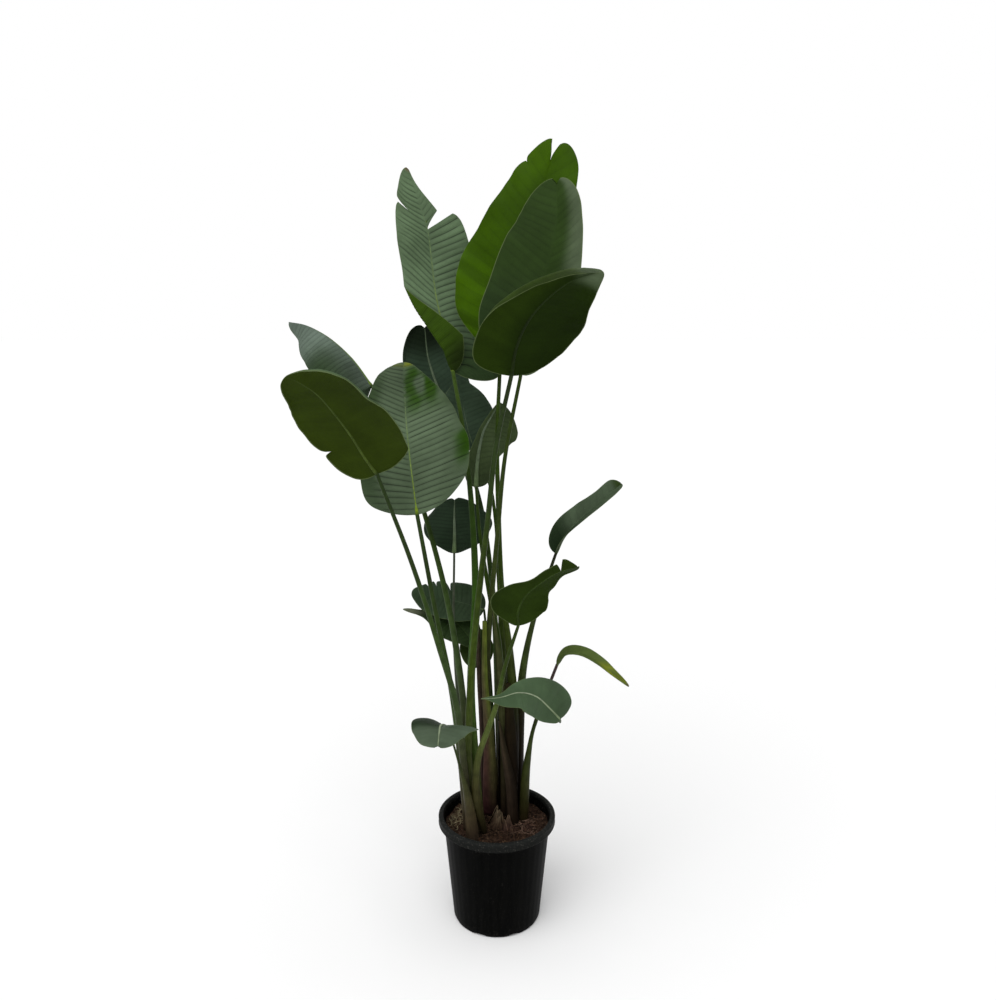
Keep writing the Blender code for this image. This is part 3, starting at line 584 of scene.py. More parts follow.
        "radius": (0.011, 0.0105, 0.009, 0.007, 0.005, 0.0035),
        "face": ((-0.2, -0.9, 0.2), (0.1, -0.9, 0.4)), "left": (0.025, 0.03, 0.016, 0.01, 0.006),
        "right": (0.03, 0.036, 0.067, 0.08, 0.048), "rise": ((30, 10), (5, 5)),
        "turned": ((10, 10), (10, 10)),
    },
    "inner_leaf": {
        "stalk": [(0.036, 0.078, FOOT), (0.022, 0.085, 0.55), (0.004, 0.1, 0.9),
                  (-0.003, 0.112, 1.03), (-0.02, 0.122, 1.13), (-0.057, 0.13, 1.209)],
        "midrib": [(-0.072, 0.14, 1.258), (-0.085, 0.16, 1.318), (-0.093, 0.19, 1.378)],
        "radius": (0.013, 0.013, 0.01, 0.006, 0.0045, 0.0035),
        "face": ((0.2, -0.9, 0.3), (0.2, -0.8, 0.5)), "left": (0.03, 0.045, 0.05, 0.045, 0.02),
        "right": (0.04, 0.07, 0.075, 0.06, 0.03), "turned": ((10, 10), (10, 10)),
    },
    "long_right_leaf": {
        "stalk": [(0.054, 0.055, FOOT), (0.058, 0.048, 0.5), (0.066, 0.032, 0.661),
                  (0.09, 0.018, 0.795), (0.118, 0.008, 0.894), (0.143, 0.0, 0.976)],
        "midrib": [(0.161, 0.01, 1.012), (0.195, 0.02, 1.05), (0.231, 0.03, 1.082),
                   (0.266, 0.04, 1.11), (0.305, 0.05, 1.138)],
        "radius": (0.014, 0.0145, 0.013, 0.0105, 0.0075, 0.005, 0.0036), "neck": 0.0035,
        "face": ((-0.4, -0.7, 0.5), (-0.3, -0.7, 0.6)),
        "left": (0.026, 0.042, 0.036, 0.027, 0.026), "right": (0.026, 0.038, 0.043, 0.038, 0.028),
        "rise": ((30, 20), (62, 34)), "turned": ((20, 20), (-20, -20)),
    },
    # small right fan
    "narrow_right_leaf": {
        "stalk": [(0.072, 0.034, FOOT), (0.079, 0.012, 0.447), (0.098, -0.006, 0.545),
                  (0.12, -0.022, 0.619), (0.147, -0.04, 0.706)],
        "midrib": [(0.169, -0.07, 0.748), (0.206, -0.11, 0.761), (0.241, -0.14, 0.75),
                   (0.271, -0.16, 0.73), (0.305, -0.17, 0.705)],
        "radius": (0.008, 0.0064, 0.0048, 0.0042, 0.004), "neck": 0.0025,
        "face": ((-0.6, -0.4, 0.6), (0.3, -0.4, 0.8)),
        "left": (0.012, 0.017, 0.017, 0.013, 0.008), "right": (0.01, 0.01, 0.01, 0.009, 0.006),
        "rise": ((30, 20), (20, 20)), "turned": ((0, 0), (0, 0)),
    },
    "front_right_leaf": {
        "stalk": [(0.068, 0.01, FOOT), (0.078, -0.012, 0.44), (0.094, -0.032, 0.54),
                  (0.113, -0.065, 0.597), (0.135, -0.108, 0.607), (0.149, -0.145, 0.605),
                  (0.149, -0.163, 0.616), (0.147, -0.175, 0.626)],
        "midrib": [(0.121, -0.188, 0.66), (0.09, -0.21, 0.698), (0.048, -0.245, 0.723),
                   (0.006, -0.28, 0.727), (-0.034, -0.3, 0.733)],
        "radius": (0.013, 0.0125, 0.01, 0.0055, 0.0035, 0.003, 0.0022), "neck": 0.003,
        "face": ((0.3, -0.7, 0.6), (-0.1, -0.7, 0.7)), "left": (0.02, 0.04, 0.047, 0.028, 0.004),
        "right": (0.054, 0.07, 0.036, 0.012, 0.004), "lobe": (0.006, 0.034),
    },
}

for name, shape in LEAVES.items():
    LEAVES[name] = {**PLAIN_SHAPE, "neck": shape["radius"][-1], **shape,
                    "midrib": [shape["stalk"][-1], *shape["midrib"]]}
print(len(LEAVES), "leaves")

# %% [markdown]
# ## The leaves' looks
# No two leaves look alike: old ones are grey and pleated, young ones smooth and bright, some
# have torn along a vein, and some are seen from below. A few words for each leaf say how it
# differs from an ordinary one, and some of those words paint light: shade, a sheen, and light
# shining through a blade.

# %% Looks
def srgb(tones):
    """Colours given as screen values from 0 to 255, turned into the linear values that
    shaders use."""
    share = np.array(tones) / 255
    return np.where(share < 0.04045, share / 12.92, ((share + 0.055) / 1.055) ** 2.4)


GREY_GREEN = (76, 96, 66)
# The young top leaf's bright green is partly its own colour and partly painted light shining through it.
BACKLIT_FRESH_GREEN = (54, 84, 0)
DEEP_GREEN = (38, 57, 20)
OLIVE = (44, 62, 14)
DARK_OLIVE = (28, 43, 6)
# Patch tones. shade, dark and deep are painted shade, laid where a blade faces away from the light or
# lies behind another leaf. pale is a painted sheen. The bright green patch tone is partly painted light
# shining through a blade. The others are colours of the blade itself, and a leaf marks where it uses one
# of them as painted light.
PATCH_TONES = {"backlit_green": (40, 70, 8), "pale": (84, 98, 72), "dark": (10, 18, 4), "deep": (38, 56, 26),
               "shade": (26, 36, 10), "olive": (42, 60, 10), "dry": (98, 84, 62),
               "yellow": (112, 122, 34), "ash": (118, 124, 100), "bottle": (14, 34, 6)}

# pleats: how many folds run out from the midrib. depth: how deep they are. skew: how far a
# vein climbs towards the tip on its way out, left and right. bands: how much one pleat's tone
# differs from the next, and how far along. wave: how far the blade waves. curl: how far each
# margin turns down. frill: how much the margin wanders in and out. rim: how wide the pale rim
# is, which is partly a painted highlight. notch: for each half, how far it reaches beyond the
# midrib's tip, and how late it reaches furthest. roll: the degrees by which a margin rolls to
# the underside, the share of the width that it takes, and where on the way out it starts, at
# the base and at the tip. tears, in order along the midrib: side, place, depth, opening and
# lift. narrow: the share of a half's width that is left beyond its last tear. upper, under:
# the tones of the two faces. stalk, rib: the names of tones. sunk: how far the midrib lies
# under the upper face, in its own radii. rib_size: its radius against a plain one's.
# patches: side or both, place along and out, reach along and out, and tone. Some patches are
# painted shade and some a painted sheen, as marked at each leaf.
PLAIN_LOOK = {
    "pleats": 24, "depth": 0.0005, "skew": (0.10, 0.10), "bands": (0.08, 2.0), "wave": 0.004,
    "curl": (0.002, 0.002), "frill": 0.015, "rim": 0.5, "notch": ((0.0, 0.8), (0.0, 0.8)),
    "roll": {}, "tears": [], "narrow": {}, "upper": GREY_GREEN, "under": OLIVE,
    "stalk": "green", "rib": "pale", "sunk": 0.6, "rib_size": 1.0, "patches": [],
}
LOOKS = {
    "far_left_leaf": {
        "depth": 0.0002, "wave": 0.0035, "curl": (0.002, 0.003), "rim": 1.2,
        "roll": {"left": (110, 0.1, 0.94, 0.89)}, "tears": [("right", 0.22, 0.16, 0.004, 0.003)],
        "under": (47, 61, 11), "rib": "dull", "sunk": -0.4,
    },
    "broad_left_leaf": {
        "pleats": 30, "depth": 0.0016, "skew": (0.13, 0.13), "frill": 0.02, "upper": (78, 94, 69),
        "rib": "bright",
        # The three green patches on the right half are painted: shade where no sheen falls, and light
        # shining through. The deep patch on the left is painted shade; the yellow tip is the blade's own.
        "patches": [("right", 0.77, 0.55, 0.16, 0.6, "backlit_green"),
                    ("right", 0.31, 1.0, 0.11, 0.26, "backlit_green"),
                    ("right", 0.82, 0.4, 0.13, 0.45, "backlit_green"),
                    ("left", 0.45, 1.0, 0.4, 0.35, "deep"),
                    ("both", 0.99, 0.4, 0.03, 0.7, "yellow")],
    },
    "upper_left_leaf": {
        "depth": 0.0006, "wave": 0.006, "frill": 0.03, "roll": {"left": (50, 0.12, 0.42, 0.75)},
        # The deep patch on the left half is painted shade.
        "upper": (94, 108, 94), "patches": [("left", 0.25, 0.9, 0.36, 0.75, "deep")],
    },
    "high_left_leaf": {
        "pleats": 34, "depth": 0.0018, "skew": (0.17, 0.06), "notch": ((0.008, 0.8), (0.0, 0.8)),
        "roll": {"left": (-165, 0.12, -0.25, 3.8)},
        "tears": [("right", 0.7, 1.0, 0.0, 0.0), ("left", 0.74, 0.5, 0.008, 0.002)],
        "narrow": {"right": 0.52}, "upper": (86, 106, 76), "under": (52, 76, 14),
        "stalk": "vivid", "rib": "bright",
        # The shade and deep patches near the base are painted shade; the dry tip is the blade's own.
        "patches": [("left", 0.0, 0.9, 0.1, 0.9, "shade"),
                    ("right", 0.0, 0.8, 0.13, 0.9, "deep"), ("both", 1.0, 0.4, 0.02, 0.9, "dry")],
    },
    "high_front_leaf": {
        "depth": 0.0003, "wave": 0.002, "frill": 0.006, "rim": 1.0,
        "roll": {"right": (190, 0.26, 1.05, 0.3)}, "upper": (92, 108, 72), "under": DARK_OLIVE,
        "stalk": "front", "rib": "dark", "sunk": -0.4,
        # Painted light: the olive patch lightens the right half, the upper part in view, where light
        # falls, and the pale patches near the tip are a painted sheen.
        "patches": [("right", 0.4, 0.8, 0.5, 0.6, "olive"),
                    ("left", 0.94, 0.6, 0.14, 0.6, "pale"),
                    ("right", 0.95, 0.6, 0.12, 0.6, "pale")],
    },
    "round_leaf": {
        "pleats": 14, "notch": ((0.008, 0.8), (0.01, 0.85)), "upper": (38, 54, 36),
        "stalk": "grey", "rib": "grey", "sunk": -0.3, "rib_size": 1.8,
    },
    "front_left_leaf": {
        "pleats": 12, "depth": 0.0002, "notch": ((0.007, 0.8), (0.007, 0.8)),
        "upper": (80, 95, 74), "under": DEEP_GREEN, "stalk": "dark", "rib": "white", "sunk": -0.4,
        "rib_size": 1.7, "patches": [("right", 0.45, 0.55, 0.15, 1.2, "bottle")],
    },
    "curled_right_leaf": {
        "depth": 0.0002, "curl": (0.001, 0.001), "rim": 0.9,
        "roll": {"left": (-150, 0.6, 3.0, 0.6), "right": (-170, 0.5, 4.2, 0.25)},
        "tears": [("right", 0.83, 1.0, 0.014, 0.004)], "under": (38, 54, 12), "stalk": "clear",
        "rib": "plain", "sunk": -0.4,
    },
    "high_middle_leaf": {
        "depth": 0.0004, "skew": (0.14, 0.14), "wave": 0.002, "frill": 0.004, "rim": 1.2,
        "notch": ((0.015, 0.85), (0.016, 0.78)), "upper": (42, 61, 23), "stalk": "bright",
        "rib": "dark", "sunk": 0.9,
        # The pale patch along the right margin is a painted sheen, and the deep patch at the base is
        # painted shade.
        "patches": [("right", 0.6, 1.0, 0.9, 0.5, "pale"), ("left", 0.0, 0.6, 0.36, 0.9, "deep")],
    },
    "dark_back_leaf": {
        "notch": ((0.01, 0.7), (0.008, 0.8)),
        "roll": {"left": (-60, 0.3, 0.9, 0.5), "right": (-50, 0.3, 0.9, 0.5)},
        "upper": (58, 76, 58), "rib": "grey", "sunk": 0.0, "rib_size": 1.6,
        # The dark patches over the tip are painted shade, partly the shadow of the leaf in front, and the
        # deep patch at the base is painted shade too.
        "patches": [("left", 1.0, 0.6, 0.3, 1.5, "dark"), ("right", 1.0, 0.6, 0.26, 1.5, "dark"),
                    ("left", 0.1, 0.8, 0.2, 0.6, "deep")],
    },
    "low_back_leaf": {
        "pleats": 16, "wave": 0.007, "frill": 0.03,
        "tears": [("right", 0.45, 0.5, 0.012, 0.004), ("right", 0.62, 0.3, 0.008, 0.002),
                  ("right", 0.75, 0.25, 0.006, 0.002)],
        "upper": (55, 72, 49), "rib": "grey",
    },
    "drooping_back_leaf": {
        "wave": 0.006, "tears": [("right", 0.5, 0.4, 0.016, 0.003)], "upper": (44, 62, 30),
        "patches": [("both", 1.0, 0.5, 0.24, 1.5, "ash")],
    },
    "lowest_back_leaf": {
        "pleats": 12, "upper": (48, 66, 25),
    },
    "high_back_leaf": {
        "pleats": 22, "depth": 0.0003, "skew": (0.14, 0.14), "bands": (0.4, 0.5), "rim": 0.3,
        "notch": ((0.05, 0.89), (0.052, 0.75)), "roll": {"left": (-110, 0.12, 0.8, 1.6)},
        # Both faces' bright green is partly painted light shining through the young blade.
        "tears": [("left", 0.88, 0.1, 0.003, 0.001)], "upper": BACKLIT_FRESH_GREEN, "under": BACKLIT_FRESH_GREEN,
        "stalk": "right", "rib": "backlit_green",
    },
    "bent_leaf": {
        "pleats": 16, "upper": (60, 74, 44), "stalk": "right", "rib": "grey", "sunk": -0.2,
        "rib_size": 1.8,
    },
    "inner_leaf": {
        "pleats": 16, "upper": (62, 80, 60), "stalk": "right", "rib": "grey",
    },
    "long_right_leaf": {
        "pleats": 12, "depth": 0.0004, "wave": 0.003, "upper": (76, 92, 68),
        "under": (84, 96, 74), "stalk": "outer", "rib": "grey",
        "patches": [("left", 0.08, 0.4, 0.2, 0.8, "bottle"),
                    ("right", 0.08, 0.5, 0.24, 0.8, "bottle"),
                    ("left", 1.0, 0.5, 0.09, 1.5, "olive")],
    },
    "narrow_right_leaf": {
        "pleats": 10, "depth": 0.0002, "upper": (76, 92, 44), "stalk": "plum", "rib": "dull",
        "patches": [("both", 0.8, 0.5, 0.17, 1.5, "yellow"),
                    ("both", 1.0, 0.5, 0.04, 1.5, "dry")],
    },
    "front_right_leaf": {
        "pleats": 12, "depth": 0.0002, "skew": (0.03, 0.05), "frill": 0.01, "upper": (68, 88, 60),
        "stalk": "olive", "rib": "white", "sunk": -0.2, "rib_size": 0.85,
    },
}
LOOKS = {name: {**PLAIN_LOOK, **look} for name, look in LOOKS.items()}
print("looks for", len(LOOKS), "leaves")

# %% [markdown]
# ## A blade as a sheet
# A blade is two halves that share the midrib. On each half, a row is a vein: it starts on the
# midrib and climbs towards the tip as it runs out, so a pleat or a tear along a vein is
# simply a change from one row to the next. The cross-section is an arc, which a real blade
# comes close to, because it is stiff along its veins. The sheet gets its thickness from a
# Solidify modifier, whose material offset also gives the underside its own finish.

# %% Midrib and veins
ROWS = 150
PLEATED_ROWS = 280
PLEATED = 0.0010
END_CROWD = 0.4
ROW_GAP = 1e-4


def frame_on_midrib(leaf, places):
    """The midrib's point, and the directions along it, across to the right and up from the
    upper face, at the given places from 0 at the base to 1 at the tip."""
    fine = np.linspace(0.0, 1.0, 401)
    centre = smooth_curve(leaf["midrib"], fine)
    along = unit(np.gradient(centre, axis=0))
    looks = np.outer(1 - fine, leaf["face"][0]) + np.outer(fine, leaf["face"][1])
    across = unit(np.cross(along, looks))
    tables = centre, along, across, np.cross(across, along)
    return [np.stack([np.interp(places, fine, table[:, k]) for k in range(3)], axis=-1)
            for table in tables]


def vein_rows(look):
    """The veins' places on the midrib, and how many tears lie below each. Rows crowd towards
    both ends, where the outline turns fast, and a tear has two rows at its place, one for
    each of its edges."""
    breaks = [0.0, *(tear[1] for tear in look["tears"]), 1.0]
    count = PLEATED_ROWS if look["depth"] >= PLEATED else ROWS
    steps = np.linspace(0.0, 1.0, count + 1)
    even = (1 - END_CROWD) * steps + END_CROWD * (1 - np.cos(math.pi * steps)) / 2
    places, below = [], []
    for k, (low, high) in enumerate(zip(breaks, breaks[1:])):
        inside = even[(even > low + ROW_GAP) & (even < high - ROW_GAP)]
        places += [low, *inside, high]
        below += [k] * (len(inside) + 2)
    return np.array(places), np.array(below)


print("veins on an ordinary half:", len(vein_rows(PLAIN_LOOK)[0]))

# %% Outline
TEAR_REACH = 0.05
TEAR_CURVE = 1.3
CORNER_CUT = 0.10
CORNER_REACH = 0.012
STRIP_START = 0.03
FRILL_SPACING = 0.11
NOTCH_START = 0.70


def tear_moves(look, side, q, out, below):
    """What a half's tears do to it: how far each point slides along the midrib and lifts, and
    the share of the width that is left. The edges of a tear part most at the margin, and the
    corners between them and the margin are clipped."""
    slide, lift, kept = np.zeros_like(q * out), np.zeros_like(q * out), np.ones_like(q)
    for k, (torn, where, deep, opening, raised) in enumerate(look["tears"]):
        if torn == side:
            edge = np.where(below > k, 1.0, -1.0)[:, None] * np.exp(-np.abs(q - where) / TEAR_REACH)
            edge = edge * ramp(out - 1 + deep, deep) ** TEAR_CURVE
            slide = slide + edge * opening / 2
            lift = lift + edge * raised
            kept = kept * (1 - CORNER_CUT * np.exp(-np.abs(q - where) / CORNER_REACH))
    return slide, lift, kept


def strip_left(look, side, q, below):
    """The share of the width that is left beyond a half's last tear, where a strip has come
    away: it widens with a square root and then narrows slowly to the tip."""
    if side not in look["narrow"]:
        return 1.0
    last = max(k for k, tear in enumerate(look["tears"]) if tear[0] == side)
    start = look["tears"][last][1]
    strip = ramp(q - start, STRIP_START) ** 0.5 * look["narrow"][side]
    strip = strip * (1 - 0.5 * (q - start) / (1 - start))
    return np.where(below[:, None] > last, strip, 1.0)


def half_width(leaf, look, side, q, step, seed):
    """A half's width: a smooth curve through its half widths, closed at both ends, whose
    margin wanders in and out."""
    width = np.maximum(spread((0.0, *leaf[side], 0.0), step), 0.0)
    margin = wander(q * curve_length(leaf["midrib"]), FRILL_SPACING, seed + 6)
    return width * (1 + look["frill"] * margin[:, None])


def reach_ahead(leaf, look, half, out, step):
    """How far a half reaches ahead beside a notched tip, less how far it reaches back as a
    lobe at the base. With near the place in the last part of the blade and peak the place
    of the furthest reach, the notch's curve is
    (near / peak)^(2 peak) * ((1 - near) / (1 - peak))^(2 - 2 peak)."""
    back = leaf["lobe"][half] * out ** 3 * np.sin(math.pi * np.minimum(2 * step, 1))
    reach, peak = look["notch"][half]
    near = ramp(step - NOTCH_START, 1 - NOTCH_START)
    ahead = (near / peak) ** (2 * peak) * ((1 - near) / (1 - peak)) ** (2 - 2 * peak)
    return reach * out ** 0.5 * ahead - back


print("outline ready")

# %% Cross-section
FIRST_FOLD = 0.12
NO_ROLL = (0.0, 0.1, 1.0, 1.0)
PLEAT_WANDER = 0.06
PLEAT_SPACING = 0.12
# How strongly the painted shade of each crease shows, at random between these.
CREASE_SHADE_STRENGTH = (0.55, 1.0)
CREASE_END = (0.80, 1.20)
MIDRIB_FADE = 0.06
END_FADE = 0.25
NARROW_FADE = 0.05
BROAD_SPACING = 0.13
FINE_SPACING = 0.045
FINE_SHARE = 0.35
CURL_START = 0.75
WAVE_FADE = 0.06


def section(leaf, look, half, side, q, out, place):
    """The cross-section, as distances sideways and upwards from the midrib for a half of
    width 1. It leaves the midrib at the angle rise - turned * out - roll, and a point's place
    is the sum of the steps taken at that angle."""
    fade = (1 - place) ** 3
    rise, turned = [np.radians(base * fade + tip * (1 - fade))
                    for base, tip in (leaf["rise"][half], leaf["turned"][half])]
    roll, share, near, far = look["roll"].get(side, NO_ROLL)
    fold = np.maximum(near + (far - near) * q, FIRST_FOLD)
    rolled = ramp(out - fold, share)
    angle = rise - turned * out - np.radians(roll) * rolled ** 2 * (3 - 2 * rolled)
    angle = (angle[:, 1:] + angle[:, :-1]) / 2
    return [np.hstack([np.zeros_like(q), np.cumsum(share_of(angle) * np.diff(out), axis=1)])
            for share_of in (np.cos, np.sin)]


def pleats(look, q, out, width, growth, chance, seed):
    """Each point's place counted in pleats, the height of the folds, and how strongly the
    painted shade of a crease shows. The height is depth * (|sin(pi * pleat)|^0.6 - 0.6), and it
    fades towards the midrib, towards the margin and where the blade is narrow."""
    pleat = look["pleats"] * q + PLEAT_WANDER * wander(growth, PLEAT_SPACING, seed + 3)
    crease = np.rint(pleat + 1).astype(int)
    strong = chance.uniform(*CREASE_SHADE_STRENGTH, look["pleats"] + 3)[crease]
    end = chance.uniform(*CREASE_END, look["pleats"] + 3)[crease]
    reach = ramp(out, MIDRIB_FADE) * ramp(end - out, END_FADE) * ramp(width, NARROW_FADE)
    height = look["depth"] * (np.abs(np.sin(math.pi * pleat)) ** 0.6 - 0.6) * reach
    return pleat, height, strong * reach * min(look["depth"] / PLEATED, 1.0) ** 1.5


def waves(look, half, out, width, growth, seed):
    """The height of broad and fine waves, which grow towards the margin, less the curl of
    the outer quarter."""
    broad = wander(growth, BROAD_SPACING, seed) * out ** 1.5
    fine = FINE_SHARE * wander(growth, FINE_SPACING, seed + 1) * out ** 3
    curl = look["curl"][half] * ramp(out - CURL_START, 1 - CURL_START) ** 2
    return (look["wave"] * (broad + fine) - curl) * ramp(width, WAVE_FADE)


print("cross-section ready")

# %% Blade tones
RAGGED_TONES = ("backlit_green", "dry", "yellow")
RAGGED_SPACING = 0.05
EVEN_STRENGTH = 0.9
SHADE_SPACING = 0.20
SHADE_CHANGE = 0.08
BAND_FADE = 0.15


def blade_tones(look, side, q, out, pleat, growth, chance, seed):
    """The tones of the upper face and the underside. They change slowly over the blade and
    from one pleat to the next, and a patch covers them with the strength
    exp(-(distance along / reach)^4 - (distance out / reach)^4). Some patches are painted
    shade and some a painted sheen."""
    strength, end = look["bands"]
    panel = chance.uniform(-1.0, 1.0, look["pleats"] + 3)
    banded = (panel[np.floor(pleat + 0.9).astype(int)] + panel[np.floor(pleat + 1.1).astype(int)]) / 2
    shade = 1 + SHADE_CHANGE * wander(growth, SHADE_SPACING, seed + 2)
    shade = (shade + strength * banded * ramp(end - q, BAND_FADE))[..., None]
    upper = shade * srgb(look["upper"])
    under = (1 + 0.5 * (shade - 1)) * srgb(look["under"])
    ragged = np.clip(0.8 + 0.6 * wander(growth, RAGGED_SPACING, seed + 5), 0.0, 1.0)
    for patched, where, far, long, wide, tone in look["patches"]:
        if patched in (side, "both"):
            amount = np.exp(-((q - where) / long) ** 4 - ((out - far) / wide) ** 4)
            amount = (amount * (ragged if tone in RAGGED_TONES else EVEN_STRENGTH))[..., None]
            tint = shade * srgb(PATCH_TONES[tone])
            upper = upper + amount * (tint - upper)
            under = under + amount * (tint - under)
    return upper, under


print(len(PATCH_TONES), "patch tones")

# %% Blades
SIDES = ("left", "right")
HALF_COLUMNS = 24
EDGE_CROWD = 1.5
BLADE_THICKNESS = 0.0009


def half_blade(leaf, look, half, places, below, seed):
    """One half's grid of points, its growth map, its tones and its marks. q is the vein's
    place on the midrib, and out the share of the way to the margin. A point starts at the
    midrib's place q plus the vein's climb. It moves off by width * section, along the normal
    by the relief, and along the midrib by the reach of a notch or a lobe."""
    side, sign = SIDES[half], (-1.0, 1.0)[half]
    chance = np.random.default_rng(seed + 4)
    length = curve_length(leaf["midrib"])
    q = places[:, None]
    out = 1 - (1 - np.linspace(0.0, 1.0, HALF_COLUMNS + 1)[None, :]) ** EDGE_CROWD
    slide, lift, kept = tear_moves(look, side, q, out, below)
    place = np.clip(q + look["skew"][half] * 4 * q * (1 - q) * out + slide / length, 0.0, 1.0)
    step = np.arccos(1 - 2 * place) / math.pi
    centre, along, across, normal = frame_on_midrib(leaf, place)
    width = half_width(leaf, look, side, q, step, seed) * kept * strip_left(look, side, q, below)
    sideways, upwards = section(leaf, look, half, side, q, out, place)
    growth = np.stack(np.broadcast_arrays(q * length, sign * width * out), axis=-1)
    pleat, folds, crease_shade = pleats(look, q, out, width, growth, chance, seed)
    relief = folds + lift + waves(look, half, out, width, growth, seed)
    grid = (centre + (sign * width * sideways)[..., None] * across
            + (width * upwards + relief)[..., None] * normal
            + reach_ahead(leaf, look, half, out, step)[..., None] * along)
    upper, under = blade_tones(look, side, q, out, pleat, growth, chance, seed)
    return grid, growth, upper, under, (1 - out) * width / look["rim"], pleat, crease_shade


def thicken(piece, thickness, back=0):
    """A Solidify modifier that gives a sheet its thickness, half to each side. The back and
    the rim take the material that is back places further down the piece's list."""
    wall = piece.modifiers.new("thickness", "SOLIDIFY")
    wall.thickness = thickness
    wall.offset = 0.0
    wall.material_offset = wall.material_offset_rim = back


def make_blade(name, leaf, look, seed):
    """The whole blade: two halves that share the midrib, a rim that closes them, and each
    face in its own finish."""
    places, below = vein_rows(look)
    rows, columns = len(places), HALF_COLUMNS + 1
    skip = set(np.flatnonzero(np.diff(below)))
    left, right = [half_blade(leaf, look, half, places, below, seed + 10 * half)
                   for half in range(len(SIDES))]
    left = [part[:, ::-1] for part in left]
    grid, growth, upper, under, from_rim, pleat, crease_shade = [
        np.concatenate([part.reshape(rows * columns, -1) for part in pair])
        for pair in zip(left, right)]
    faces = np.concatenate([grid_faces(rows, columns, start, skip_rows=skip)
                            for start in (0, rows * columns)])
    piece = make_piece(f"{name}_sheet", grid, faces, [upper_finish, under_finish],
                       {"upper_tone": upper, "under_tone": under},
                       {"from_rim": from_rim, "pleat": pleat, "crease_shade": crease_shade},
                       growth, [f"{name}_blade"])
    thicken(piece, BLADE_THICKNESS, back=1)
    return piece


for seed, (name, leaf) in enumerate(LEAVES.items()):
    sheet = make_blade(name, leaf, LOOKS[name], 100 * seed)
    print(name, len(sheet.data.polygons), "faces")

# %% [markdown]
# ## Stalks and midribs
# A stalk doesn't stop at the blade: it runs on as the midrib and thins to almost nothing at
# the tip. So each leaf gets one tube along both curves. Its upper side has a channel, as on
# the real plant, and near the soil it swells into a sheath that clasps its neighbours. A
# bevelled curve couldn't carry a channel, so the ring of points is worked out here and carried
# along the path.

# %% Stalk finish
FIBRE_SIZE = 700.0
FIBRE_STRETCH = 0.02
BLOTCH_SIZE = 38.0


def stalk_finish(name, roughness):
    """A smooth skin with fine fibres along Z and soft blotches, over the tone attribute."""
    material, tree, shader = new_finish(name, roughness, 0.06)
    place = object_place(tree)
    fibres = drawn_noise(tree, place, FIBRE_STRETCH, FIBRE_SIZE, 3.0)
    blotches = noise(tree, place, BLOTCH_SIZE, 4.0)
    streak = colour_ramp(tree, fibres, [(0.35, grey(0.78)), (0.65, grey(1.18))])
    cloud = colour_ramp(tree, blotches, [(0.35, grey(0.75)), (0.70, grey(1.20))])
    colour = tinted(tree, tinted(tree, attribute(tree, "tone", "Color"), streak), cloud)
    tree.links.new(colour, shader.inputs["Base Color"])
    bump(tree, shader, fibres, 0.0003, 0.6)
    return material


green_stalk_finish = stalk_finish("smooth_stalk", 0.42)
dry_finish = stalk_finish("dry_sheath", 0.75)
print("stalk finishes ready")

# %% Stalk tones
# The tones of a stalk at even places from the soil to the blade
STALK_TONES = {
    "green": [(58, 46, 36), (62, 64, 42), (62, 80, 44), (52, 72, 28), (42, 58, 24), (42, 58, 26)],
    "vivid": [(56, 48, 32), (60, 80, 30), (56, 92, 20), (46, 72, 18), (42, 60, 20), (60, 80, 30)],
    "bright": [(46, 36, 26), (58, 60, 32), (58, 68, 30), (50, 64, 24), (44, 60, 18)],
    "clear": [(36, 30, 20), (56, 54, 26), (80, 92, 44), (56, 72, 26), (44, 60, 18)],
    "front": [(54, 46, 34), (62, 72, 32), (60, 78, 20), (50, 66, 20), (42, 58, 24), (42, 54, 28)],
    "olive": [(40, 32, 18), (48, 52, 22), (46, 58, 22), (40, 50, 24), (74, 90, 64)],
    "dark": [(60, 49, 40), (64, 56, 36), (60, 62, 34), (46, 56, 24), (44, 58, 24)],
    "right": [(20, 14, 7), (20, 15, 6), (56, 68, 24), (52, 70, 20), (46, 66, 16), (46, 62, 20)],
    "outer": [(20, 14, 7), (20, 15, 6), (32, 30, 13), (54, 66, 28), (50, 60, 28), (34, 36, 24)],
    "grey": [(54, 52, 38), (60, 68, 46), (68, 76, 58), (70, 76, 62), (66, 74, 56)],
    "plum": [(40, 40, 18), (44, 48, 20), (50, 54, 26), (58, 50, 40), (64, 50, 50)],
}
# The tones of a midrib at even places from its base to its tip
RIB_TONES = {
    "bright": [(112, 134, 36), (104, 124, 76), (98, 116, 80)],
    "pale": [(90, 112, 48), (94, 112, 70), (88, 106, 68)],
    "grey": [(92, 110, 72), (100, 114, 92), (80, 94, 70)],
    "white": [(118, 134, 98), (152, 164, 136), (128, 142, 110)],
    "plain": [(42, 58, 16), (44, 62, 18), (54, 72, 26)],
    "dull": [(72, 88, 34), (64, 80, 30), (56, 72, 26)],
    "dark": [(26, 38, 8), (28, 42, 8), (34, 50, 12)],
    # The bright green of the young leaf's midrib is partly painted light shining through it.
    "backlit_green": [(56, 84, 10), (52, 80, 8), (44, 70, 6)],
}


def tone_rows(tones, places):
    """Tones given at even places, read at other places."""
    knots, tones = np.linspace(0.0, 1.0, len(tones)), srgb(tones)
    return np.stack([np.interp(places, knots, tones[:, k]) for k in range(3)], axis=-1)


print(len(STALK_TONES), "kinds of stalk,", len(RIB_TONES), "kinds of midrib")

# %% Tubes
CHANNEL_WIDTH = 0.6


